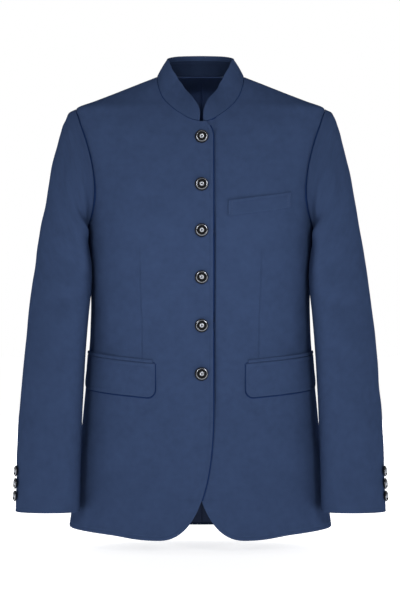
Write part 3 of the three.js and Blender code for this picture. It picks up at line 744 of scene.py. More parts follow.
def make_armhole_tape(side):
    """A tape inside the armhole, where the sleeve's edge and the body's are turned in, coloured as painted
    seam shade.
    """
    angles = np.linspace(0, 360, TAPE["points"])
    at = angles * ARMHOLE_STEPS / 360
    turns, heights = (np.interp(at, np.arange(ARMHOLE_STEPS + 1), column) for column in ARMHOLE_LOOP.T)
    middle = np.array([(SIDE_SEAM + 1) / 2, (ARMHOLE_TOP + ARMHOLE_BOTTOM) / 2])
    wider = middle + (np.stack([turns, heights], -1) - middle) * TAPE["reach"]
    on_body = body_point(*wider.T) - body_normal(*wider.T) * TAPE_DEPTH["on_body"]
    leaning = sleeve_normal(angles, np.full(angles.shape, TAPE["lean_row"]))
    inside = (body_normal(turns, heights) + leaning) / 2
    at_seam = body_point(turns, heights) - inside * TAPE_DEPTH["at_seam"]
    row = np.full(angles.shape, TAPE["sleeve_row"])
    on_sleeve = sleeve_point(angles, row) - sleeve_normal(angles, row) * TAPE_DEPTH["on_sleeve"]
    points = np.stack([on_body, at_seam, on_sleeve], 1)
    walls = (points, points - inside[:, None] * TAPE["wall"])
    name = f"armhole_tape_{WORDS[side]}"
    made = shell(name, walls, points[..., 0], points[..., 2], ["seam_shade_wool"], side=side)
    return dressed(made)


# ---- Finishes ----------------------------------------------------------------------------------------


class Amount:
    """A number inside a finish, so that shares of colour and height can be worked out in plain sums."""

    def __init__(self, finish, socket):
        self.finish = finish
        self.socket = socket

    def _sum(self, operation, *terms):
        made = self.finish.node("ShaderNodeMath", {"operation": operation}, dict(enumerate((self, *terms))))
        return Amount(self.finish, made.outputs[0])

    def __add__(self, other):
        return self._sum("ADD", other)

    def __sub__(self, other):
        return self._sum("SUBTRACT", other)

    def __mul__(self, other):
        return self._sum("MULTIPLY", other)

    def wave(self):
        return self._sum("SINE")


class Finish:
    """A material with one method that makes every node but the shader's own."""

    def __init__(self, name):
        self.material = bpy.data.materials.new(name)
        self.material.use_nodes = True
        self.tree = self.material.node_tree
        self.shader = self.tree.nodes["Principled BSDF"]

    def node(self, kind, settings=None, sockets=None):
        made = self.tree.nodes.new(kind)
        for key, value in (settings or {}).items():
            setattr(made, key, value)
        for key, value in (sockets or {}).items():
            self.feed(made.inputs[key], value)
        return made

    def feed(self, socket, value):
        if isinstance(value, Amount):
            value = value.socket
        if isinstance(value, bpy.types.NodeSocket):
            self.tree.links.new(value, socket)
        else:
            socket.default_value = value

    def set(self, **values):
        for key, value in values.items():
            self.feed(self.shader.inputs[key.replace("_", " ")], value)

    def noise(self, vector, scale, detail=2.0, roughness=0.5):
        sockets = {"Vector": vector, "Scale": scale, "Detail": detail, "Roughness": roughness}
        made = self.node("ShaderNodeTexNoise", {"noise_dimensions": "3D"}, sockets)
        return Amount(self, made.outputs[0])

    def shade(self, share, base, low, high):
        """The base colour, from low to high times as bright."""
        sockets = {0: share, 6: (*scaled(base, low), 1.0), 7: (*scaled(base, high), 1.0)}
        return self.node("ShaderNodeMix", {"data_type": "RGBA"}, sockets).outputs[2]

    def bump(self, height, distance, strength):
        made = self.node("ShaderNodeBump", {}, {"Strength": strength, "Distance": distance, "Height": height})
        self.set(Normal=made.outputs[0])

    def flat_place(self):
        """The place on the flat cloth, in metres across and along the grain."""
        settings = {"attribute_name": "cloth", "attribute_type": "GEOMETRY"}
        return self.node("ShaderNodeAttribute", settings).outputs["Vector"]

    def solid_place(self):
        return self.node("ShaderNodeTexCoord").outputs["Object"]


def scaled(values, share):
    return tuple(part * share for part in values)


# Scales are in noise cells for each metre, the twill's pitch and every depth in metres.
TWILL = {"pitch": 0.0011, "rib_slope": 0.55, "yarn_pitch": 1.7, "yarn_slope": 0.9}
WOOL = {"fibres": 620, "clouds": (95, 34), "melange": 0.12, "roughness": 0.86, "depth": 0.00022}
# How much fibres, clouds and the twill count in the wool's colour and in its height.
WOOL_TONE = {"fibres": 0.55, "clouds": 1.9, "middle": 0.73}
WOOL_HEIGHT = {"twill": 0.5, "clouds": 4.5, "strength": 0.7}
SATIN = {"soft": 30, "threads": (2400, 220, 1), "depth": 0.00005}
METAL = {"wear": 900, "grain": 2600, "depth": 0.00003}
THREAD = {"twist": 2500, "depth": 0.0001}
LOW_GLOSS = 0.12


def twill_height(finish, place):
    split = finish.node("ShaderNodeSeparateXYZ", {}, {0: place})
    across, along = (Amount(finish, split.outputs[axis]) for axis in "XY")
    turn = 2 * math.pi / TWILL["pitch"]
    ribs = (across * turn + along * (turn * TWILL["rib_slope"])).wave()
    yarns = (across * (turn * TWILL["yarn_pitch"]) - along * (turn * TWILL["yarn_slope"])).wave()
    return ribs * 0.6 + yarns * 0.4


def wool_finish(name, base):
    finish = Finish(name)
    place = finish.flat_place()
    fibres = finish.noise(place, WOOL["fibres"], 3.0, 0.6)
    small, large = (finish.noise(place, scale) * 0.5 for scale in WOOL["clouds"])
    clouds = small + large
    share = fibres * WOOL_TONE["fibres"] + clouds * WOOL_TONE["clouds"] - WOOL_TONE["middle"]
    finish.set(Base_Color=finish.shade(share, base, 1 - WOOL["melange"], 1 + WOOL["melange"]), Metallic=0.0)
    finish.set(Roughness=fibres * 0.08 + WOOL["roughness"], Specular_IOR_Level=0.0)
    height = twill_height(finish, place) * WOOL_HEIGHT["twill"] + fibres + clouds * WOOL_HEIGHT["clouds"]
    finish.bump(height, WOOL["depth"], WOOL_HEIGHT["strength"])
    return finish.material


def satin_finish(name, base):
    finish = Finish(name)
    place = finish.flat_place()
    soft = finish.noise(place, SATIN["soft"])
    stretch = finish.node("ShaderNodeVectorMath", {"operation": "MULTIPLY"}, {0: place, 1: SATIN["threads"]})
    finish.set(Base_Color=finish.shade(soft, base, 0.8, 1.25), Metallic=0.0)
    finish.set(Roughness=soft * 0.10 + 0.5, Specular_IOR_Level=LOW_GLOSS)
    finish.bump(finish.noise(stretch.outputs[0], 1.0, 1.0), SATIN["depth"], 0.5)
    return finish.material


def metal_finish(name, base, roughness, metallic=1.0):
    """Metal whose roughness runs up from the one given where it is worn."""
    finish = Finish(name)
    place = finish.solid_place()
    wear = finish.noise(place, METAL["wear"], 3.0, 0.6)
    finish.set(Base_Color=finish.shade(wear, base, 0.85, 1.12), Metallic=metallic)
    finish.set(Roughness=wear * 0.12 + roughness, Specular_IOR_Level=LOW_GLOSS)
    finish.bump(finish.noise(place, METAL["grain"]), METAL["depth"], 0.5)
    return finish.material


def thread_finish(name, base):
    finish = Finish(name)
    twist = finish.noise(finish.solid_place(), THREAD["twist"])
    finish.set(Base_Color=finish.shade(twist, base, 0.85, 1.15), Roughness=twist * 0.1 + 0.5)
    finish.bump(twist, THREAD["depth"], 0.6)
    return finish.material


def matt_finish(name, base, specular, glow=0.0):
    finish = Finish(name)
    grain = finish.noise(finish.solid_place(), 3.0)
    finish.set(Base_Color=finish.shade(grain, base, 0.995, 1), Roughness=0.9, Specular_IOR_Level=specular)
    if glow:
        finish.set(Emission_Color=(1, 1, 1, 1), Emission_Strength=glow)
    return finish.material


# Shares of the wool's red, green and blue for the seam fills and tapes: painted shade that stands for the
# tinted light left deep in a seam.
SEAM_SHADE = (0.32, 0.46, 0.72)
PALE_FLOOR = {"tone": (0.97, 0.97, 0.97), "gloss": 0.1, "glow": 0.78}
MADE = {}


def finish_named(name):
    """The finish of that name, made when it is first asked for."""
    if name in MADE:
        return MADE[name]
    tones = bpy.context.scene.coat_colours
    seam = tuple(channel * share for channel, share in zip(tones.wool, SEAM_SHADE))
    floor = PALE_FLOOR
    makers = {
        "wool": lambda: wool_finish("navy wool", tones.wool),
        # collar ply: the wool a touch darker, slight painted shade
        "collar_shade_wool": lambda: wool_finish("navy wool, collar", scaled(tones.wool, 0.97)),
        # seam fills and tapes: wool darkened and tinted as painted seam shade
        "seam_shade_wool": lambda: matt_finish("navy wool, turned edges", seam, 0.0),
        # inside the hem: a darker copy of the wool, painted shade
        "hem_shade_wool": lambda: wool_finish("navy wool, inside the hem", scaled(tones.wool, 0.24)),
        # inner collar and neck tape: a darker copy of the wool, painted shade
        "under_shade_wool": lambda: wool_finish("navy wool, under collar", scaled(tones.wool, 0.5)),
        "satin": lambda: satin_finish("dark navy satin", tones.satin),
        # satin below the hem line: a darker copy, painted shade
        "satin_hem_shade": lambda: satin_finish("dark navy satin, hem band", scaled(tones.satin, 0.22)),
        "rim_metal": lambda: metal_finish("gunmetal, polished", scaled(tones.metal, 0.42), 0.15),
        "boss_metal": lambda: metal_finish("gunmetal, worn bright", tones.metal, 0.29),
        # dark recess in its own tone, and the button's foot, side and dimple, which are dark as painted shade
        "dark_metal_and_shade": lambda: metal_finish("gunmetal, darkened", scaled(tones.metal, 0.012), 0.45, 0.0),
        "thread": lambda: thread_finish("navy thread", scaled(tones.wool, 1.25)),
        "piping": lambda: thread_finish("piping", tones.piping),
        "stage": lambda: matt_finish("pale floor", floor["tone"], floor["gloss"], floor["glow"]),
    }
    MADE[name] = makers[name]()
    return MADE[name]


# ---- Fronts and backs --------------------------------------------------------------------------------

PANEL = {"girth": 300, "length": 790, "wall": 2.0, "waves": 0.75, "mirror_shift": 7.0}
WAVE_SEEDS = {"front": 11, "back": 23, "lining": 41, "sleeve": 57}
SIDE_CALM = {"reach": (0.03, 0.3), "least": 0.15}  # creases grow flat towards the side seam
EDGE_CALM = {"reach": (24, 60), "least": 0.35}  # and towards the front edge

# The dart: its rough share of the front's width, the shares of the length where the grid follows it, and
# its groove and the soft swell beside it.
DART_SHARE = 0.36
DART_SHARE_LIMITS = (0.15, 0.6)
DART_TRIES = 161
DART_BEYOND = (-0.4, 1.6)  # shares of the dart's length up to which its line is drawn on
DART_FOLLOW = {"from": (0.42, 0.52), "to": (0.86, 0.97)}
DART_TOP_FADE = (-8, 40)
DART_FOOT_FADE = (-2, 2)
DART_GROOVE = {"depth": 1.15, "width": 0.95, "swell": 0.35, "swell_width": 9}

# The front edge: how far the lapped edge lifts, and the dip that it presses into the cloth beside it.
EDGE = {"lift": 1.5, "roll": 6, "dip": 3.0, "aside": 1.3, "width": 2.1}
EDGE_LIFT_FADE = (-640, -520)
EDGE_DIP_FADE = (-600, -520)
BESIDE_EDGE = (0.105, 0.155, 22)  # extra columns of the under front, where the dip lies
STITCH = {"in": 6.0, "groove": 0.45, "groove_width": 0.9, "swell": 0.4, "swell_at": -2.4}
STITCH_BEYOND = {"swell": 0.2, "at": 2.3, "width": 1.6}
# The facing fill is a dark tube along the lap's edge, painted shade under the lapped edge.
FACING_FILL = {"radius": 1.0, "depth": 1.3, "aside": 0.9, "foot": -692}  # the facing's edge under the lap
FACING_WIDTH = 58
HEM_TURN_UP = 34
CUFF_TURN_UP = 30
BUNDLE_STEPS = (0, 0.35, 0.8, 1.4, 2.2, 3.4, 5.2)


def seam_bundle(centre, size):
    """Shares that lie close together on both sides of a line."""
    return sorted({centre + sign * offset / size for offset in BUNDLE_STEPS for sign in (-1, 1)})


def dart_x(z):
    share = (z - DART["top_z"]) / (DART["foot_z"] - DART["top_z"])
    return blend(DART["top_x"], DART["foot_x"], np.clip(share, *DART_BEYOND))


def dart_shares(borders, vs):
    """Where the dart's line crosses each row of the panel."""
    tries = np.linspace(0, 1, DART_TRIES)
    turns, heights = fill_borders(borders, np.tile(tries, (len(vs), 1)), vs)
    xs = body_point(turns, heights)[..., 0]
    found = []
    for row, height in zip(xs, heights):
        gap = row - dart_x(height)
        crossing = np.nonzero((gap[:-1] < 0) & (gap[1:] >= 0))[0]
        if len(crossing):
            k = crossing[0]
            found.append(tries[k] + (tries[k + 1] - tries[k]) * -gap[k] / (gap[k + 1] - gap[k]))
        else:
            found.append(DART_SHARE)
    return np.clip(np.array(found), *DART_SHARE_LIMITS)


def front_grid(borders, upper, step, vs):
    """Shares across a front for each row, with columns that follow the dart."""
    beside_edge = () if upper else np.linspace(*BESIDE_EDGE)
    extra = [*seam_bundle(DART_SHARE, PANEL["girth"]), *beside_edge]
    us = shares_between((CORNER_SHARE,), PANEL["girth"], step, extra=extra)[None]
    follow = smooth_step(vs, *DART_FOLLOW["from"]) * (1 - smooth_step(vs, *DART_FOLLOW["to"]))
    lines = blend(DART_SHARE, dart_shares(borders, vs), follow)[:, None]
    before = us * lines / DART_SHARE
    after = 1 - (1 - us) * (1 - lines) / (1 - DART_SHARE)
    return np.where(us < DART_SHARE, before, after)


def dart_relief(across, heights):
    along = smooth_step(-heights, *(fade - DART["top_z"] for fade in DART_TOP_FADE))
    along = along * (1 - smooth_step(-heights, *(fade - DART["foot_z"] for fade in DART_FOOT_FADE)))
    off = across - dart_x(heights)
    groove = -DART_GROOVE["depth"] * hump(off, DART_GROOVE["width"])
    return (groove + DART_GROOVE["swell"] * hump(off, DART_GROOVE["swell_width"])) * along


def body_panel(borders, side, word, upper=False):
    """One front or back: places, normals, heights, run round the girth, rise over the body and row shares."""
    sizes = bpy.context.scene.coat_sizes
    vs = shares_between((NECK_SHARE, ARMHOLE_SHARE), PANEL["length"], sizes.cloth_step)
    if word == "front":
        grid = front_grid(borders, upper, sizes.cloth_step, vs)
    else:
        grid = np.tile(shares_between((), PANEL["girth"], sizes.cloth_step), (len(vs), 1))
    turns, heights = fill_borders(borders, grid, vs)
    places = body_point(turns, heights)
    runs = girth_run(turns, heights)
    relief = crease_rise(runs, heights, BODY_CREASES, mirror_shift=PANEL["mirror_shift"] * (side > 0))
    relief = relief + slow_waves(runs, heights, WAVE_SEEDS[word], PANEL["waves"])
    calm = blend(SIDE_CALM["least"], 1, smooth_step(np.abs(turns - 1), *SIDE_CALM["reach"]))
    dart = 0
    if word == "front":
        from_edge = smooth_step(np.abs(places[..., 0]), *EDGE_CALM["reach"])
        calm = calm * blend(EDGE_CALM["least"], 1, from_edge)
        dart = dart_relief(places[..., 0], heights)
    relief = relief * calm * sizes.crease_strength + dart
    lift = lap_lift(places[..., 0]) if upper else 0
    return places, body_normal(turns, heights), heights, runs, relief + lift, vs


def stitched_edge(gap):
    """The swell and the sunk line of a stitched edge, gap millimetres in from its fold."""
    off = gap - STITCH["in"]
    swell = STITCH["swell"] * hump(off - STITCH["swell_at"], STITCH_BEYOND["width"])
    beyond = STITCH_BEYOND["swell"] * hump(off - STITCH_BEYOND["at"], STITCH_BEYOND["width"])
    return swell + beyond - STITCH["groove"] * hump(off, STITCH["groove_width"])


def make_front(side):
    upper = side == RIGHT
    borders = front_borders(side * CLOSING_X, UPPER_CORNER if upper else UNDER_CORNER)
    places, normals, heights, runs, out, vs = body_panel(borders, side, "front", upper)
    points = draw_in(places)
    neck, armhole = row_at(vs, NECK_SHARE), row_at(vs, ARMHOLE_SHARE)
    at_neck = neck / (len(vs) - 1)
    seams = [*whole("top", "outer"), ("inner", 0, at_neck)]
    gaps = edge_gaps(points, seams, [("inner", at_neck, 1), *whole("bottom")])
    fold_gap = gaps[1]
    roll = stitched_edge(fold_gap)
    if upper:
        roll = roll + EDGE["lift"] * hump(fold_gap, EDGE["roll"]) * smooth_step(heights, *EDGE_LIFT_FADE)
    else:
        beside = places[..., 0] - CLOSING_X - LAP - EDGE["aside"]
        roll = roll - EDGE["dip"] * hump(beside, EDGE["width"]) * smooth_step(heights, *EDGE_DIP_FADE)
    out = out + roll
    if upper:
        # A dark tube beside the lap's edge paints the shade under it.
        edge = slice(neck + 1, row_at(heights[:, 0], FACING_FILL["foot"]))
        facing = places[edge, 0] + normals[edge, 0] * out[edge, 0, None] - (FACING_FILL["aside"], 0, 0)
        fill_seam("facing_edge", facing, normals[edge, 0], side, FACING_FILL)
    out = out - armhole_groove(points, armhole)
    walls = thickness_grids(points, normals, out, PANEL["wall"], gaps, PANEL_DIP)
    sewn = points + normals * out[..., None]
    word = WORDS[side]
    fill_seam(f"shoulder_seam_{word}", sewn[0, 1:], normals[0, 1:], side)
    at_arm = (slice(armhole + 1), -1)
    fill_seam(f"armhole_front_seam_{word}", sewn[at_arm], normals[at_arm], side, ARMHOLE_FILL)
    slots = np.where(np.minimum(fold_gap, np.abs(runs)) < FACING_WIDTH, 0, 1)
    made = shell(f"front_{word}_cloth", walls, runs, heights, ["wool", "satin"], slots, side)
    return dressed(made, [f"front_{word}"])


def make_back(side):
    places, normals, heights, runs, out, vs = body_panel(BACK_BORDERS, side, "back")
    points = draw_in(places)
    neck, armhole = row_at(vs, NECK_SHARE), row_at(vs, ARMHOLE_SHARE)
    gaps = edge_gaps(points, whole("top", "outer", "inner"), whole("bottom"))
    out = out - armhole_groove(points, armhole)
    walls = thickness_grids(points, normals, out, PANEL["wall"], gaps, PANEL_DIP)
    sewn = points + normals * out[..., None]
    word = WORDS[side]
    at_arm, at_side, at_back = (slice(armhole + 1), -1), (slice(armhole, -1), -1), (slice(neck, -1), 0)
    fill_seam(f"armhole_back_seam_{word}", sewn[at_arm], normals[at_arm], side, ARMHOLE_FILL)
    fill_seam(f"side_seam_{word}", sewn[at_side], normals[at_side], side)
    if side == RIGHT:
        fill_seam("centre_back_seam", sewn[at_back] * (0, 1, 1), normals[at_back], side)
    # Inside the hem's turn-up the wool takes a darker copy, painted shade.
    slots = np.where(gaps[1] < HEM_TURN_UP, 2, 1)
    made = shell(f"back_{word}_cloth", walls, runs, heights, ["wool", "satin", "hem_shade_wool"], slots, side)
    return dressed(made, [f"back_{word}"])


# ---- Lining ------------------------------------------------------------------------------------------

# Its last entry is the height below which the satin is darkened as painted shade.
LINING = {"reach": 0.8, "looseness": 5.2, "rise": 6, "wall": 0.6, "waves": 0.7, "shade_below": -684}
LINING_GRID = {"girth": 240, "step_across": 6.5, "length": 780, "step_down": 7.5}
LINING_NECK = {"rise": 4.2, "width": 8}
LINING_HEM = (0.9, 1.0)  # shares of the length between which the lining is drawn up
# The pleat down its middle, in millimetres towards the wearer's left, and the loose fold at its top.
PLEAT = {"lap": 1.5, "fold": (0.0, 2.6), "spread": (-26, -3)}
VALLEY = {"depth": 0.9, "at": 2.8, "width": 1.8}
PLEAT_FROM = (-4, 16)
TOP_FOLD = {"rise": 3.4, "z": -27, "droop": 0.22, "width": 7, "reach": 46}
SOFT_FROM = (10, 60)


def make_lining():
    """The satin inside the back, in one piece with a pleat down its middle."""
    beside_pleat = seam_bundle(0, PANEL["girth"])[len(BUNDLE_STEPS) - 1:]
    us = shares_between((), LINING_GRID["girth"], LINING_GRID["step_across"], extra=beside_pleat)
    vs = shares_between((NECK_SHARE,), LINING_GRID["length"], LINING_GRID["step_down"])
    turns, heights = fill_borders(BACK_BORDERS, np.tile(us * LINING["reach"], (len(vs), 1)), vs)
    heights = heights + LINING["rise"] * smooth_step(vs, *LINING_HEM)[:, None]
    at_neck = slice(row_at(vs, NECK_SHARE) + 1)
    neckline = body_point(turns[at_neck, 0], heights[at_neck, 0])
    from_neck = distance_to_line(body_point(turns, heights), neckline)
    heights = heights + LINING_NECK["rise"] * hump(from_neck, LINING_NECK["width"])

    def both(grid, sign=1):
        return np.concatenate([grid[:, :0:-1] * sign, grid], 1)

    places, normals = (both(grid(turns, heights), np.array([-1, 1, 1])) for grid in (body_point, body_normal))
    from_back = GIRTHS.length("front", heights) + GIRTHS.length("back", heights) - girth_run(turns, heights)
    across = both(from_back) * np.sign(places[..., 0])
    heights = both(heights)
    # Cloth from the wearer's left laps over the right with a rounded edge.
    lapped = PLEAT["lap"] * (1 - smooth_step(across, *PLEAT["fold"])) * smooth_step(across, *PLEAT["spread"])
    valley = -VALLEY["depth"] * hump(across - VALLEY["at"], VALLEY["width"])
    opened = smooth_step(-heights, *PLEAT_FROM)
    from_fold = heights - TOP_FOLD["z"] + np.abs(across) * TOP_FOLD["droop"]
    fold = TOP_FOLD["rise"] * hump(from_fold, TOP_FOLD["width"]) * hump(across, TOP_FOLD["reach"])
    soft = slow_waves(across, heights, WAVE_SEEDS["lining"], LINING["waves"])
    inwards = (lapped + valley) * opened + fold + soft * smooth_step(-heights, *SOFT_FROM)
    points = draw_in(places)
    gaps = edge_gaps(points, [], whole("bottom", "inner", "outer"))
    walls = thickness_grids(points, normals, -LINING["looseness"] - inwards, LINING["wall"], gaps, PANEL_DIP)
    # Below that height the lining takes a darker copy of the satin, painted shade at the hem.
    slots = np.where(heights < LINING["shade_below"], 1, 0)
    made = shell("back_lining_satin", walls, across, heights, ["satin", "satin_hem_shade"], slots)
    return dressed(made, ["back_lining_right", "back_lining_left"])


# ---- Sleeves ---------------------------------------------------------------------------------------

SLEEVE_CURVES = {name: curve_through(SLEEVE, "row", name) for name in SLEEVE[0] if name != "row"}
hind_seam = curve_through(HIND_SEAM, "row", "angle")


def rounded(value):
    return np.sign(value) * np.abs(value) ** (2 / SLEEVE_SQUARE)


def sleeve_ring(angle, row):
    turned = np.radians(angle)
    to_inner = rounded(np.cos(turned))
    to_front = rounded(np.sin(turned))
    column = {name: curve(row) for name, curve in SLEEVE_CURVES.items()}
    x = (column["in_x"] + column["out_x"]) / 2 + (column["in_x"] - column["out_x"]) / 2 * to_inner
    y = column["middle"] - column["yaw"] * to_inner - column["depth"] * to_front
    z = (column["in_z"] + column["out_z"]) / 2 + (column["in_z"] - column["out_z"]) / 2 * to_inner
    return np.stack(np.broadcast_arrays(x, y, z), -1)


ARMHOLE_STEPS = 720
NORMAL_ROWS = (0.6, SLEEVE_LAST - 0.06)  # rows between which a sleeve's slope is measured


def armhole_loop():
    """The armhole seam as turns and heights, from under the arm up the front and down the back."""
    loop = []
    for angle in np.arange(ARMHOLE_STEPS) * 360 / ARMHOLE_STEPS:
        in_front = angle <= 180
        way = 1 - angle / 180 if in_front else (angle - 180) / 180
        loop.append(armhole_at(way, -1 if in_front else 1))
    return np.array(loop + loop[:1])


ARMHOLE_LOOP = armhole_loop()
ARMHOLE_PLACES = body_point(*ARMHOLE_LOOP.T)


def armhole_place(angle):
    at = np.mod(angle, 360) * ARMHOLE_STEPS / 360
    grid = np.arange(ARMHOLE_STEPS + 1)
    return np.stack([np.interp(at, grid, column) for column in ARMHOLE_PLACES.T], -1)


def clear_of_body(points, gap):
    """Pushes points out of the body, gap away from it."""
    low, part = GIRTHS.rows(points[..., 2])

    def pick(column):
        return blend(column[low], column[low + 1], part)

    depth = np.where(points[..., 1] < 0, pick(GIRTHS.depth["front"]), pick(GIRTHS.depth["back"]))
    square = pick(GIRTHS.square)
    across = np.abs(points[..., 0]) / (pick(GIRTHS.half) + gap)
    along = np.abs(points[..., 1]) / (depth + gap)
    reach = (across**square + along**square) ** (1 / square)
    push = np.where(reach < 1, 1 / np.maximum(reach, 0.2), 1)
    return points * np.stack([push, push, np.ones_like(push)], -1)


def sleeve_point(angle, row):
    angle, row = np.broadcast_arrays(np.asarray(angle, float), np.asarray(row, float))
    points = sleeve_ring(angle, row)
    fade = 1 - smooth_step(row, 0, ARMHOLE_FADE)
    seam = armhole_place(angle) - sleeve_ring(angle, np.zeros_like(row))
    points = points + seam * fade[..., None]
    return clear_of_body(points, blend(ARMHOLE_SLACK, SLEEVE_SLACK, smooth_step(row, 0, ARMHOLE_FADE / 2)))


def sleeve_normal(angle, row):
    upward = -np.clip(row, *NORMAL_ROWS)
    return outward_of(lambda a, b: sleeve_point(a, -b), angle, upward, *SLEEVE_SLOPE_STEPS)


# How a sleeve's creases go from side to side, and fade at its head and beside the body.
SLEEVE_SOFT = {"mirror_shift": 9.0, "waves": 0.55, "head": (0.3, 1.6), "calm": 0.92, "calm_width": 34}
HEAD_ROLL = {"depth": 0.5, "at": 6, "width": 9}
CUFF_STITCH = {"depth": 0.25, "at": 5, "width": 2.2}
SLEEVE_WALL = {"head": 1.0, "rest": 1.8}
HEAD_ROWS = (0.01, 0.02, 0.035, 0.05, 0.065)  # extra shares of the length, close to the armhole
SLEEVE_SIZES = {"top_sleeve": 215, "under_sleeve": 130, "length": 665}
CLEAR_ENDS = slice(4, -1)  # a sleeve's seam fills stop short of the armhole


def sleeve_relief(angle, row, side):
    y = row * SLEEVE_ROW
    shift = SLEEVE_SOFT["mirror_shift"] * (side > 0)
    creases = sum(
        crease_rise(x, y, SLEEVE_CREASES, (SLEEVE_DEGREE, SLEEVE_ROW), shift)
        for x in (angle * SLEEVE_DEGREE, (angle + 360) * SLEEVE_DEGREE)
    )
    relief = creases + slow_waves(angle * SLEEVE_DEGREE, y, WAVE_SEEDS["sleeve"] + side, SLEEVE_SOFT["waves"])
    inside = hump(np.minimum(np.mod(angle, 360), 360 - np.mod(angle, 360)), SLEEVE_SOFT["calm_width"])
    fade = smooth_step(row, *SLEEVE_SOFT["head"]) * (1 - SLEEVE_SOFT["calm"] * inside)
    return relief * fade * bpy.context.scene.coat_sizes.crease_strength


def make_sleeve_piece(side, part):
    step = bpy.context.scene.coat_sizes.cloth_step
    top = part == "top_sleeve"
    us = shares_between((), SLEEVE_SIZES[part], step)
    vs = shares_between((1 / SLEEVE_LAST, 2 / SLEEVE_LAST), SLEEVE_SIZES["length"], step, extra=HEAD_ROWS)
    rows = (vs * SLEEVE_LAST)[:, None]
    start = FORE_SEAM if top else hind_seam(rows)
    end = hind_seam(rows) if top else FORE_SEAM + 360
    angles = start + (end - start) * us[None]
    rows = np.broadcast_to(rows, angles.shape)
    normals = sleeve_normal(angles, rows)
    points = draw_in(sleeve_point(angles, rows))
    gaps = edge_gaps(points, whole("top", "inner", "outer"), whole("bottom"))
    from_head = distance_to_line(points, points[0])
    over_top = np.clip(np.sin(np.radians(angles - 90)), 0, 1) if top else np.zeros(angles.shape)
    head_roll = -HEAD_ROLL["depth"] * over_top * hump(from_head - HEAD_ROLL["at"], HEAD_ROLL["width"])
    cuff_turn = -CUFF_STITCH["depth"] * hump(gaps[1] - CUFF_STITCH["at"], CUFF_STITCH["width"])
    out = sleeve_relief(angles, rows, side) + head_roll + cuff_turn
    wall = blend(SLEEVE_WALL["head"], SLEEVE_WALL["rest"], smooth_step(rows, 0, 1))
    walls = thickness_grids(points, normals, out, wall, gaps, SLEEVE_DIP)
    word = WORDS[side]
    if top:
        sewn = points + normals * out[..., None]
        for seam, column in (("fore", 0), ("hind", -1)):
            fill_seam(f"{seam}_seam_{word}", sewn[CLEAR_ENDS, column], normals[CLEAR_ENDS, column], side)
    slots = np.where(gaps[1] < CUFF_TURN_UP, 0, 1)
    across, along = angles * SLEEVE_DEGREE, -rows * SLEEVE_ROW
    made = shell(f"{part}_{word}_cloth", walls, across, along, ["wool", "satin"], slots, side)
    return dressed(made, [f"{part}_{word}"])


# ---- Collar ----------------------------------------------------------------------------------------

collar_lean = curve_through(COLLAR_SHAPE, "way", "lean")
collar_height = curve_through(COLLAR_SHAPE, "way", "height")
COLLAR_SLOPE_STEP = 0.012


def neck_seam_at(way, side):
    if way >= 0.5:
        share = 2 * way - 1
        return body_point(1 + share, back_neck_z(share))
    start = side * CLOSING_X + COLLAR_END_GAP / 2
    turn, z = front_neck_at(1 - 2 * way, start)
    point = body_point(turn, z)
    lift = float(lap_lift(point[0])) if side < 0 else 0
    return point + body_normal(turn, z) * lift


def collar_half(ways, side):
    """Feet, upward and outward directions of half the collar, from the front to the centre back."""
    before, base, after = (
        np.array([neck_seam_at(min(max(way + step, 0), 1), side) for way in ways])
        for step in (-COLLAR_SLOPE_STEP, 0, COLLAR_SLOPE_STEP)
    )
    along = unit(after - before)
    inwards = unit(np.stack([-along[:, 1], along[:, 0], np.zeros(len(ways))], -1))
    lean = np.radians(collar_lean(ways))[:, None]
    up = np.array([[0, 0, 1.0]]) * np.cos(lean) + inwards * np.sin(lean)
    outwards = unit(np.cross(along, up))
    for grid in (base, up, outwards):
        grid[:, 0] *= side
    return base, up, outwards


COLLAR_GRID = {"half": 205, "step": 2.6, "crowding": 1.2, "height": 35, "step_up": 2.4}


def collar_frame():
    """Feet, upward and outward directions round the whole collar, the way round it and the nearer end."""
    shares = shares_between((), COLLAR_GRID["half"], COLLAR_GRID["step"], crowd_end=False)
    ways = shares ** COLLAR_GRID["crowding"]
    halves = zip(collar_half(ways, RIGHT), collar_half(ways, LEFT))
    joined = [np.concatenate([right, left[-2::-1]]) for right, left in halves]
    all_ways = np.concatenate([ways, ways[-2::-1]])
    feet = joined[0]
    ends = np.min([np.linalg.norm(feet - feet[end], axis=-1) for end in (0, -1)], 0)
    return joined, all_ways, ends


# The collar's two plies: where each starts above the neck seam, how much lower its top is, how far in it
# lies, its wall, and its cut and finish.
# The outer ply's wool is a touch darker and the inner ply's half as bright, both painted shade.
COLLAR_PLIES = {
    "collar_outer": {
        "low": 0.8, "turn": 0, "inset": 0, "wall": 2.2, "cut": "collar", "finish": "collar_shade_wool",
    },
    "collar_inner": {
        "low": 2, "turn": 8, "inset": 2.5, "wall": 1.2, "cut": "collar_inner", "finish": "under_shade_wool",
    },
}
COLLAR_SOFT = {"belly": 0.9, "ripple": 0.25, "ripple_run": 23.0, "dip": 0.5}
COLLAR_EDGE = {"swell": 0.28, "swell_at": 1.6, "swell_width": 1.1, "stitch": 0.22, "at": 4.6, "width": 1.2}


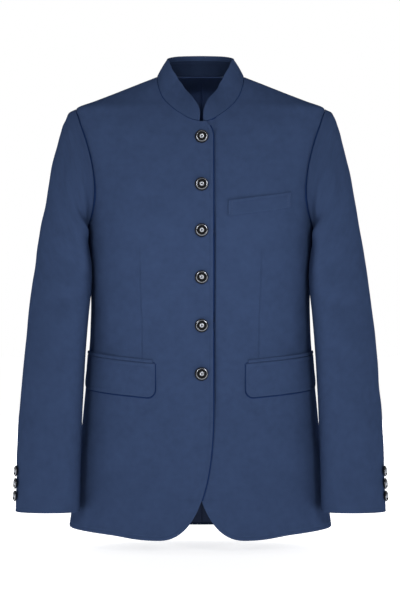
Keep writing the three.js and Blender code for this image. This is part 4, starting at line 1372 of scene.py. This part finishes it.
def collar_piece(node):
    ply = COLLAR_PLIES[node]
    (base, up, outwards), ways, ends = collar_frame()
    us = shares_between((), COLLAR_GRID["height"], COLLAR_GRID["step_up"])[:, None]
    short = np.clip(1 - ends / COLLAR_CORNER["run"], 0, 1)
    top = collar_height(ways) - COLLAR_CORNER["drop"] * (1 - np.sqrt(1 - short * short)) - ply["turn"]
    height = ply["low"] + (top[None] - ply["low"]) * us
    run = np.concatenate([[0], np.cumsum(np.linalg.norm(np.diff(base, axis=0), axis=-1))])
    belly = COLLAR_SOFT["belly"] * np.sin(us * math.pi)
    ripple = COLLAR_SOFT["ripple"] * np.sin(run / COLLAR_SOFT["ripple_run"])[None] * us
    lift = (belly + ripple - ply["inset"])[..., None]
    places = base[None] + up[None] * height[..., None] + outwards[None] * lift
    normals = np.broadcast_to(outwards[None], places.shape)
    gaps = edge_gaps(places, whole("top"), whole("bottom", "inner", "outer"))
    swell = COLLAR_EDGE["swell"] * hump(gaps[1] - COLLAR_EDGE["swell_at"], COLLAR_EDGE["swell_width"])
    roll = swell - COLLAR_EDGE["stitch"] * hump(gaps[1] - COLLAR_EDGE["at"], COLLAR_EDGE["width"])
    walls = thickness_grids(places, normals, roll, ply["wall"], gaps, COLLAR_SOFT["dip"])
    return dressed(shell(f"{node}_cloth", walls, run[None], height, [ply["finish"]]), [node])


# ---- Pockets ---------------------------------------------------------------------------------------

# What is laid on a front: its wall, how far its sewn sides dip in, and how long the grid's steps are.
LAID = {"wall": 1.8, "dip": 0.7, "round": 1.3, "step_across": 3.0, "step_down": 2.6}
FLAP_SOFT = {"belly": 0.9, "lift": 0.7}
FLAP_EDGE = {"rise": 0.25, "swell": (2.2, 1.3), "stitch": (6.0, 1.5)}
WELT_EDGE = {"rise": 0.22, "swell": (2.2, 1.3), "stitch": (5.0, 1.2)}
# The flap's fill is a dark tube just outside its edge, painted shade under the flap.
FLAP_FILL = {"radius": 1.05, "depth": 0.1, "aside": 0.95}  # the lining's edge, rolled to the underside


def on_front(pocket, along, drop):
    """Places on a front: along is measured round the girth, drop down from the pocket's top line."""
    z = pocket["top"] + pocket["rise"] * (along - pocket["front"]) - drop
    turn = turn_at_length(along, z)
    return body_point(turn, z), body_normal(turn, z), z


def fill_outline(name, places, normals, side):
    """The turned edge under a laid piece, a dark tube of painted shade: down its front end, along the bottom
    and up its back end.
    """
    inside = slice(1, -1)
    away = np.zeros_like(places)
    away[:, 0] = places[:, 0] - places[:, 1]
    away[:, -1] = places[:, -1] - places[:, -2]
    away[-1, inside] = places[-1, inside] - places[-2, inside]
    away[0, inside] = places[0, inside] - places[1, inside]
    away /= np.maximum(np.linalg.norm(away, axis=-1, keepdims=True), 1e-9)
    beside = places + away * FLAP_FILL["aside"]
    line, facing = (
        np.concatenate([grid[:, 0], grid[-1, inside], grid[::-1, -1]]) for grid in (beside, normals)
    )
    fill_seam(f"{name}_edge", line, facing, side, FLAP_FILL)
    fill_seam(f"{name}_top_edge", beside[0, inside], normals[0, inside], side, FLAP_FILL)


def edge_stitch(fold_gap, edge):
    """The swell at a folded edge and the line of stitches inside it."""
    swell, stitch = (hump(fold_gap - at, width) for at, width in (edge["swell"], edge["stitch"]))
    return edge["rise"] * (swell - stitch)


def laid_piece(node, side, pocket, ends, drop_from, height_at, out_at, seams=()):
    """A piece laid on a front. height_at says how far down it reaches, out_at how far it stands out."""
    start, end = ends
    us = shares_between((), end - start, LAID["step_across"])
    middle = np.array([start + (end - start) / 2])
    vs = shares_between((), float(np.max(height_at(middle))), LAID["step_down"])[:, None]
    along = (start + (end - start) * us)[None] * np.ones(vs.shape)
    places, normals, z = on_front(pocket, along, drop_from + vs * height_at(along))
    folds = [name for name in ("top", "bottom", "inner", "outer") if name not in seams]
    gaps = edge_gaps(places, whole(*seams), whole(*folds))
    out = LAID_GAP + LAID["wall"] + out_at(along, vs * np.ones_like(along), gaps[1])
    walls = thickness_grids(places, normals, out, LAID["wall"], gaps, LAID["dip"], LAID["round"])
    cut = node.split("_")[1]
    if cut == "flap":
        fill_outline(node, places, normals, side)
    made = shell(f"{node}_cloth", walls, along, z, ["wool"], side=side)
    return dressed(made, [node])


def make_flap(side):
    front, back = ends = HIP_POCKET["front"], HIP_POCKET["back"]

    def height_at(along):
        short = np.clip(1 - np.minimum(along - front, back - along) / FLAP["corner"], 0, 1)
        return FLAP["height"] - FLAP["corner"] * (1 - np.sqrt(1 - short * short))

    def out_at(along, down, fold_gap):
        across = np.sin((along - front) / (back - front) * math.pi)
        belly = FLAP_SOFT["belly"] * np.sin(down * math.pi) * across
        return belly + FLAP_SOFT["lift"] * smooth_step(down, 0.5, 1.0) + edge_stitch(fold_gap, FLAP_EDGE)

    return laid_piece(f"pocket_flap_{WORDS[side]}", side, HIP_POCKET, ends, FLAP["drop"], height_at, out_at)


def make_jet(side):
    ends = (HIP_POCKET["front"] + JET["inset"], HIP_POCKET["back"])

    def height_at(along):
        return np.full(along.shape, JET["width"])

    def out_at(along, down, fold_gap):
        return JET["belly"] * np.sin(down * math.pi)

    return laid_piece(f"pocket_jet_{WORDS[side]}", side, HIP_POCKET, ends, JET["drop"], height_at, out_at)


def make_welt():
    ends = (CHEST_POCKET["front"], CHEST_POCKET["back"])

    def height_at(along):
        return np.full(along.shape, WELT["height"])

    def out_at(along, down, fold_gap):
        return edge_stitch(fold_gap, WELT_EDGE) - WELT["sunk"] * smooth_step(down, 0.9, 1.0)

    return laid_piece("chest_welt", LEFT, CHEST_POCKET, ends, 0.0, height_at, out_at, ["bottom"])


# ---- Buttons ---------------------------------------------------------------------------------------

# Half section of a button from the foot of its shank to the middle of its face, as shares of its
# radius. finish is 0 for the rim, 2 for the boss and 1 where the metal is dark: the recess ring in its
# own dark tone, the foot, side and centre dimple as painted shade. cap is 1 on the pressed cap and fluted is
# 1 in the fluted ring.
BUTTON_OUTLINE = table(
    "across up finish cap fluted",
    (0.0, 0.0, 1, 0, 0),
    (0.28, 0.0, 1, 0, 0),
    (0.28, 0.14, 1, 0, 0),
    (0.80, 0.16, 1, 0, 0),
    (0.97, 0.19, 1, 0, 0),
    (1.0, 0.24, 1, 0, 0),
    (0.99, 0.29, 1, 0, 0),
    (0.95, 0.325, 1, 1, 0),
    (0.905, 0.345, 1, 1, 0),
    (0.89, 0.38, 0, 1, 0),
    (0.88, 0.415, 0, 1, 0),
    (0.86, 0.444, 0, 1, 0),
    (0.745, 0.472, 0, 1, 0),
    (0.725, 0.47, 0, 1, 0),
    (0.705, 0.45, 0, 1, 0),
    (0.69, 0.415, 0, 1, 0),
    (0.67, 0.375, 1, 1, 0),
    (0.64, 0.33, 1, 1, 1),
    (0.52, 0.30, 1, 0, 1),
    (0.42, 0.32, 1, 1, 1),
    (0.36, 0.37, 1, 1, 0),
    (0.325, 0.44, 2, 1, 0),
    (0.295, 0.475, 2, 1, 0),
    (0.24, 0.49, 2, 1, 0),
    (0.18, 0.485, 2, 1, 0),
    (0.14, 0.46, 2, 1, 0),
    (0.10, 0.425, 1, 1, 0),
    (0.05, 0.41, 1, 1, 0),
    (0.0, 0.405, 1, 1, 0),
)


BUTTON = {"turns": 64, "flutes": 16, "flute_depth": 0.016}
# The shift leaves more of the dark side showing at the lower left, a painted shadow crescent.
BUTTON_CAP_SHIFT = 0.04  # the pressed cap sits this share of the radius off its base
BUTTON_HANG = 0.5  # a sewn-on button keeps this share of the cloth's slope
BUTTON_GAP = 0.3  # between a button's foot and the cloth
BUTTON_METALS = ["rim_metal", "dark_metal_and_shade", "boss_metal"]
FRONT_BUTTON = {"radius": 10.8, "heights": (-106.6, -183.6, -256.6, -331, -408.6, -486)}
CUFF_BUTTON = {"radius": 9, "count": 3, "top": -646, "spacing": 20, "angle": 163}


def make_button(node, radius, foot, normal):
    """A shank button with a raised rim, a fluted ring and a dimpled boss."""
    turns = BUTTON["turns"]
    rows = BUTTON_OUTLINE[1:-1]
    shift = BUTTON_CAP_SHIFT * radius
    vertices = [(0, 0, BUTTON_OUTLINE[0]["up"] * radius)]
    for row in rows:
        cap = shift * row["cap"]
        for k in range(turns):
            angle = 2 * math.pi * k / turns
            flute = BUTTON["flute_depth"] * math.cos(BUTTON["flutes"] * angle) * row["fluted"]
            reach = row["across"] * radius
            x, y = reach * math.cos(angle) + cap, reach * math.sin(angle) + cap
            vertices.append((x, y, (row["up"] + flute) * radius))
    vertices.append((shift, shift, BUTTON_OUTLINE[-1]["up"] * radius))
    last = len(vertices) - 1
    first = last - turns
    ring = [(k, (k + 1) % turns) for k in range(turns)]
    faces = [(0, 1 + after, 1 + k) for k, after in ring]
    slots = [1] * turns
    for number, (row, above) in enumerate(zip(rows, rows[1:])):
        start = 1 + number * turns
        faces += [(start + k, start + after, start + after + turns, start + k + turns) for k, after in ring]
        slots += [above["finish"] if row["finish"] == 1 else row["finish"]] * turns
    faces += [(first + k, first + after, last) for k, after in ring]
    slots += [1] * turns
    turn = Vector((0, 0, 1)).rotation_difference(Vector(normal)).to_matrix()
    placed = np.array(vertices) @ np.array(turn).T + foot
    return dressed(make_object(f"{node}_metal", placed, faces, BUTTON_METALS, slots), [node])


def make_front_button(number, z):
    turn = turn_at_x(-CLOSING_X, z)
    normal = body_normal(turn, z)
    foot = (body_point(turn, z) + normal * (LAP_LIFT + BUTTON_GAP)) * (-1, 1, 1)
    normal = unit(normal * (-1, 1, BUTTON_HANG))
    return make_button(f"front_button_{number}", FRONT_BUTTON["radius"], foot, normal)


def row_at_height(angle, z):
    low, high = 0.0, float(SLEEVE_LAST)
    for _ in range(30):
        middle = (low + high) / 2
        if sleeve_point(angle, middle)[2] > z:
            low = middle
        else:
            high = middle
    return low


def make_cuff_button(side, number):
    angle = CUFF_BUTTON["angle"]
    row = row_at_height(angle, CUFF_BUTTON["top"] - (number - 1) * CUFF_BUTTON["spacing"])
    place = (np.array(float(angle)), np.array(row))
    normal = sleeve_normal(*place)
    foot = sleeve_point(*place) + normal * max(BUTTON_GAP + float(sleeve_relief(*place, side)), 0.1)
    node = f"cuff_button_{WORDS[side]}_{number}"
    return make_button(node, CUFF_BUTTON["radius"], foot * (side, 1, 1), normal * (side, 1, 1))


# ---- Thread, tape and piping -------------------------------------------------------------------------

STITCH_THREAD = {"length": 1.8, "gap": 0.9, "radius": 0.22, "arch": 0.9, "sink": 0.12, "taper": 0.6}
WELT_STITCHES = {"in": (1.6, 6.2), "margin": 1.2, "points": 20, "out": 1.85}
NECK_TAPE = {"points": 60, "rows": ((0, 4.0), (3, 4.3), (9, 4.6)), "over_seam": 4, "narrowing": 0.985}
NECK_FILL = {"radius": 1.0, "in": 1.5, "below": 0.2}
PIPING = {"from": 0.53, "radius": 0.6, "in": 4.6, "above": 1.6}


def tube_along(points, radius, sides=8, taper=0.0):
    """Vertices and faces of a closed tube along a run of points."""
    points = np.asarray(points, float)
    along = unit(np.gradient(points, axis=0))
    hint = np.array([0.0, 0.0, 1.0]) if abs(along[0][2]) < 0.9 else np.array([0.0, 1.0, 0.0])
    side_way = unit(np.cross(along, hint))
    up_way = np.cross(side_way, along)
    share = np.linspace(0, 1, len(points))
    size = radius * (1 - taper * (2 * share - 1) ** 4)
    vertices, faces = [], []
    for k in range(sides):
        angle = 2 * math.pi * k / sides
        vertices.append(points + (side_way * math.cos(angle) + up_way * math.sin(angle)) * size[:, None])
    for i in range(len(points) - 1):
        for k in range(sides):
            a, b = i * sides + k, i * sides + (k + 1) % sides
            faces.append((a, b, b + sides, a + sides))
    faces.append(tuple(range(sides))[::-1])
    end = (len(points) - 1) * sides
    faces.append(tuple(end + k for k in range(sides)))
    return np.stack(vertices, 1).reshape(-1, 3), faces


def stitch_line(points, normals):
    """Single stitches that lie in a row along a line on the cloth, each as vertices and faces."""
    run = np.concatenate([[0], np.cumsum(np.linalg.norm(np.diff(points, axis=0), axis=-1))])
    length, radius = STITCH_THREAD["length"], STITCH_THREAD["radius"]
    arch = radius * STITCH_THREAD["arch"] * np.sin(np.linspace(0, math.pi, 5)) - STITCH_THREAD["sink"]
    stitches = []
    start = STITCH_THREAD["gap"]
    while start + length < run[-1]:
        at = np.linspace(start, start + length, 5)
        place, out = (
            np.stack([np.interp(at, run, column) for column in grid.T], -1) for grid in (points, normals)
        )
        stitches.append(tube_along(place + out * arch[:, None], radius, 6, STITCH_THREAD["taper"]))
        start += length + STITCH_THREAD["gap"]
    return stitches


def make_pocket_stitches():
    """The stitches that hold both ends of the breast welt."""
    steps = WELT_STITCHES["points"]
    drops = np.linspace(WELT_STITCHES["margin"], WELT["height"] - WELT_STITCHES["margin"], steps)
    near, far = WELT_STITCHES["in"]
    front, back = CHEST_POCKET["front"], CHEST_POCKET["back"]
    vertices, faces, base = [], [], 0
    for along in (front + near, front + far, back - far, back - near):
        places, normals, _ = on_front(CHEST_POCKET, np.full(steps, along), drops)
        for rings, ring_faces in stitch_line(places + normals * (LAID_GAP + WELT_STITCHES["out"]), normals):
            vertices.append(rings)
            faces.extend(tuple(k + base for k in face) for face in ring_faces)
            base += len(rings)
    return dressed(make_object("pocket_stitches", np.concatenate(vertices), faces, ["thread"]))


def make_neck_tape():
    """A tape that covers the neck seam inside the back, in wool darkened as painted shade."""
    count = NECK_TAPE["points"]
    shares = np.concatenate([np.linspace(0, 1, count), np.linspace(1, 0, count)[1:]])
    sides = np.where(np.arange(len(shares)) < count, RIGHT, LEFT)
    rows = []
    for drop, depth in NECK_TAPE["rows"]:
        heights = np.array([back_neck_z(share) for share in shares]) - drop
        places = body_point(1 + shares, heights) - body_normal(1 + shares, heights) * depth
        places[:, 0] *= sides
        rows.append(places)
    points = np.stack([rows[0] + (0, 0, NECK_TAPE["over_seam"]), *rows])
    walls = (points, points * (NECK_TAPE["narrowing"], NECK_TAPE["narrowing"], 1))
    return dressed(shell("neck_tape", walls, points[..., 0], points[..., 2], ["under_shade_wool"]))


def make_neck_seam():
    """The turned cloth at the bottom of the neck seam, coloured as painted seam shade."""
    base, up, outwards = (grid[3:-3] for grid in collar_frame()[0])
    line = base - outwards * NECK_FILL["in"] - up * NECK_FILL["below"]
    rings, faces = tube_along(line, NECK_FILL["radius"])
    return dressed(make_object("neck_seam", rings, faces, ["seam_shade_wool"]))


def make_neck_piping():
    """The cord inside the back of the neck, above the seam."""
    grids, ways, _ = collar_frame()
    base, up, outwards = (grid[ways > PIPING["from"]] for grid in grids)
    rings, faces = tube_along(base - outwards * PIPING["in"] + up * PIPING["above"], PIPING["radius"])
    return dressed(make_object("neck_piping", rings, faces, ["piping"]))


# ---- Stage -----------------------------------------------------------------------------------------

SURROUND_FADE = {"From Min": 0.5, "From Max": 0.9}  # from beside the coat to straight behind it
SENSOR = 36
AIM = Vector((0, 0, -0.25))
LAMPS = table(
    "name place wide tall power spread",
    ("right window", (1.35, -3.3, 0.9), 1.0, 1.3, "key", 0.36),
    ("left window", (-1.35, -3.3, 0.75), 1.0, 1.3, "fill", 0.36),
    ("rear window", (0.0, 3.6, 0.7), 2.4, 2.4, "rear", 2.6),
)


def make_surround(dim):
    """A plain white backdrop whose light comes from behind and is dim beside the coat and before it."""
    world = bpy.data.worlds.new("studio")
    world.use_nodes = True
    nodes = world.node_tree.nodes
    kinds = ("TexCoord", "SeparateXYZ", "MapRange", "LightPath", "Math")
    place, split, share, seen, strength = (nodes.new(f"ShaderNode{kind}") for kind in kinds)
    share.interpolation_type = "SMOOTHSTEP"
    for socket, value in {**SURROUND_FADE, "To Min": dim, "To Max": 1.0}.items():
        share.inputs[socket].default_value = value
    background = nodes["Background"]
    background.inputs["Color"].default_value = (1, 1, 1, 1)
    strength.operation = "MAXIMUM"
    links = world.node_tree.links
    links.new(place.outputs["Generated"], split.inputs[0])
    links.new(split.outputs["Y"], share.inputs["Value"])
    links.new(share.outputs[0], strength.inputs[0])
    links.new(seen.outputs["Is Camera Ray"], strength.inputs[1])
    links.new(strength.outputs[0], background.inputs["Strength"])
    return world


def place_object(name, data, place, turned=(0, 0, 0)):
    made = bpy.data.objects.new(name, data)
    made.location = place
    made.rotation_euler = turned
    bpy.context.scene.collection.objects.link(made)
    return made


def make_lamp(lamp, power):
    data = bpy.data.lights.new(lamp["name"], "AREA")
    data.shape = "RECTANGLE"
    data.size = lamp["wide"]
    data.size_y = lamp["tall"]
    data.energy = power
    data.spread = lamp["spread"]
    turned = (AIM - Vector(lamp["place"])).to_track_quat("-Z", "Y").to_euler()
    return place_object(lamp["name"], data, lamp["place"], turned)


def make_stage():
    """The floor, the backdrop, three lamps and the camera."""
    stage = bpy.context.scene.coat_stage
    mesh = bpy.data.meshes.new("floor")
    corners = [(x * stage.floor_size, y * stage.floor_size, stage.floor_height)
               for x, y in ((-1, -1), (1, -1), (1, 1), (-1, 1))]
    mesh.from_pydata(corners, [], [(0, 1, 2, 3)])
    mesh.materials.append(finish_named("stage"))
    place_object("floor", mesh, (0, 0, 0))
    bpy.context.scene.world = make_surround(stage.surround)
    for lamp in LAMPS:
        make_lamp(lamp, getattr(stage, lamp["power"]))
    camera = bpy.data.cameras.new("camera")
    camera.sensor_fit = "VERTICAL"
    camera.sensor_height = SENSOR
    camera.lens = SENSOR * stage.camera_distance / stage.view_height
    place = (stage.camera_side, -stage.camera_distance, stage.camera_height)
    bpy.context.scene.camera = place_object("camera", camera, place, (math.pi / 2, 0, 0))
    bpy.context.scene.view_settings.view_transform = "Standard"


# ---- Settings, operators and panel -------------------------------------------------------------------


def cloth_colour(name, description, default):
    return FloatVectorProperty(
        name=name, description=description, default=default, size=3, min=0.0, max=1.0, subtype="COLOR"
    )


def metres(name, description, default):
    return FloatProperty(name=name, description=description, default=default, unit="LENGTH")


def light(name, description, default, unit="POWER"):
    return FloatProperty(name=name, description=description, default=default, min=0.0, unit=unit)


class CoatSizes(bpy.types.PropertyGroup):
    cloth_step: FloatProperty(
        name="Cloth step", description="Spacing of the cloth's points in millimetres",
        default=6.0, min=2.0, max=20.0,
    )
    crease_strength: FloatProperty(
        name="Crease strength", description="How strongly the soft creases show",
        default=1.0, min=0.0, max=3.0, subtype="FACTOR",
    )


class CoatColours(bpy.types.PropertyGroup):
    wool: cloth_colour("Wool", "Colour of the coat's cloth", (0.0395, 0.0650, 0.1410))
    satin: cloth_colour("Lining", "Colour of the satin lining", (0.045, 0.080, 0.200))
    metal: cloth_colour("Buttons", "Colour of the metal buttons", (0.50, 0.52, 0.57))
    piping: cloth_colour("Piping", "Colour of the cord at the neck seam", (0.24, 0.30, 0.47))


class CoatStage(bpy.types.PropertyGroup):
    floor_height: metres("Floor height", "Where the floor lies", -0.774)
    floor_size: metres("Floor size", "Half the floor's side", 12.0)
    surround: light("Surround", "Brightness beside and before the coat", 0.14, "NONE")
    key: light("Key light", "Power of the lamp on the wearer's left", 1.27)
    fill: light("Fill light", "Power of the lamp on the wearer's right", 1.1)
    rear: light("Rear light", "Power of the lamp behind", 80.0)
    camera_distance: metres("Camera distance", "From the coat's middle", 3.6)
    camera_height: metres("Camera height", "Height of the camera", -0.3679)
    camera_side: metres("Camera side", "Camera's place sideways", -0.0007)
    view_height: metres("View height", "Height of the view at the coat", 0.99)


class COAT_OT_fronts(bpy.types.Operator):
    """Sew the two fronts with their darts, facings and cutaway hem"""

    bl_idname = "coat.fronts"
    bl_label = "Fronts"

    def execute(self, context):
        for side in (RIGHT, LEFT):
            make_front(side)
        return {"FINISHED"}


class COAT_OT_backs(bpy.types.Operator):
    """Sew the two backs"""

    bl_idname = "coat.backs"
    bl_label = "Backs"

    def execute(self, context):
        for side in (RIGHT, LEFT):
            make_back(side)
        return {"FINISHED"}


class COAT_OT_lining(bpy.types.Operator):
    """Hang the satin lining inside the back"""

    bl_idname = "coat.lining"
    bl_label = "Lining"

    def execute(self, context):
        make_lining()
        return {"FINISHED"}


class COAT_OT_sleeves(bpy.types.Operator):
    """Set in the two-piece sleeves"""

    bl_idname = "coat.sleeves"
    bl_label = "Sleeves"

    def execute(self, context):
        for side in (RIGHT, LEFT):
            make_sleeve_piece(side, "top_sleeve")
            make_sleeve_piece(side, "under_sleeve")
            make_armhole_tape(side)
        return {"FINISHED"}


class COAT_OT_collar(bpy.types.Operator):
    """Sew on the standing collar, its inside and the piping at the neck seam"""

    bl_idname = "coat.collar"
    bl_label = "Collar"

    def execute(self, context):
        for node in COLLAR_PLIES:
            collar_piece(node)
        make_neck_seam()
        make_neck_tape()
        make_neck_piping()
        return {"FINISHED"}


class COAT_OT_pockets(bpy.types.Operator):
    """Lay on the hip pockets' jets and flaps and the breast welt"""

    bl_idname = "coat.pockets"
    bl_label = "Pockets"

    def execute(self, context):
        for side in (RIGHT, LEFT):
            make_jet(side)
            make_flap(side)
        make_welt()
        make_pocket_stitches()
        return {"FINISHED"}


class COAT_OT_buttons(bpy.types.Operator):
    """Fasten the front buttons and the cuff buttons"""

    bl_idname = "coat.buttons"
    bl_label = "Buttons"

    def execute(self, context):
        for number, z in enumerate(FRONT_BUTTON["heights"], 1):
            make_front_button(number, z)
        for side in (RIGHT, LEFT):
            for number in range(1, CUFF_BUTTON["count"] + 1):
                make_cuff_button(side, number)
        return {"FINISHED"}


class COAT_OT_stage(bpy.types.Operator):
    """Set up the floor, lights and camera"""

    bl_idname = "coat.stage"
    bl_label = "Stage"

    def execute(self, context):
        make_stage()
        return {"FINISHED"}


OPERATORS = (
    COAT_OT_stage,
    COAT_OT_fronts,
    COAT_OT_backs,
    COAT_OT_lining,
    COAT_OT_sleeves,
    COAT_OT_collar,
    COAT_OT_pockets,
    COAT_OT_buttons,
)


class COAT_PT_panel(bpy.types.Panel):
    """The coat's settings and pieces"""

    bl_idname = "COAT_PT_panel"
    bl_label = "Prince coat"
    bl_space_type = "VIEW_3D"
    bl_region_type = "UI"
    bl_category = "Coat"

    def draw(self, context):
        layout = self.layout
        for group in (context.scene.coat_sizes, context.scene.coat_colours, context.scene.coat_stage):
            for name in group.bl_rna.properties.keys():
                if name not in ("rna_type", "name"):
                    layout.prop(group, name)
        for operator in OPERATORS:
            layout.operator(operator.bl_idname)


GROUPS = {"coat_sizes": CoatSizes, "coat_colours": CoatColours, "coat_stage": CoatStage}


def register():
    for name, group in GROUPS.items():
        bpy.utils.register_class(group)
        setattr(bpy.types.Scene, name, PointerProperty(type=group))
    for operator in OPERATORS:
        bpy.utils.register_class(operator)
    bpy.utils.register_class(COAT_PT_panel)


def unregister():
    bpy.utils.unregister_class(COAT_PT_panel)
    for operator in reversed(OPERATORS):
        bpy.utils.unregister_class(operator)
    for name, group in reversed(GROUPS.items()):
        delattr(bpy.types.Scene, name)
        bpy.utils.unregister_class(group)


def main():
    register()
    bpy.ops.coat.stage()
    bpy.ops.coat.fronts()
    bpy.ops.coat.backs()
    bpy.ops.coat.lining()
    bpy.ops.coat.sleeves()
    bpy.ops.coat.collar()
    bpy.ops.coat.pockets()
    bpy.ops.coat.buttons()


if __name__ == "__main__":
    main()
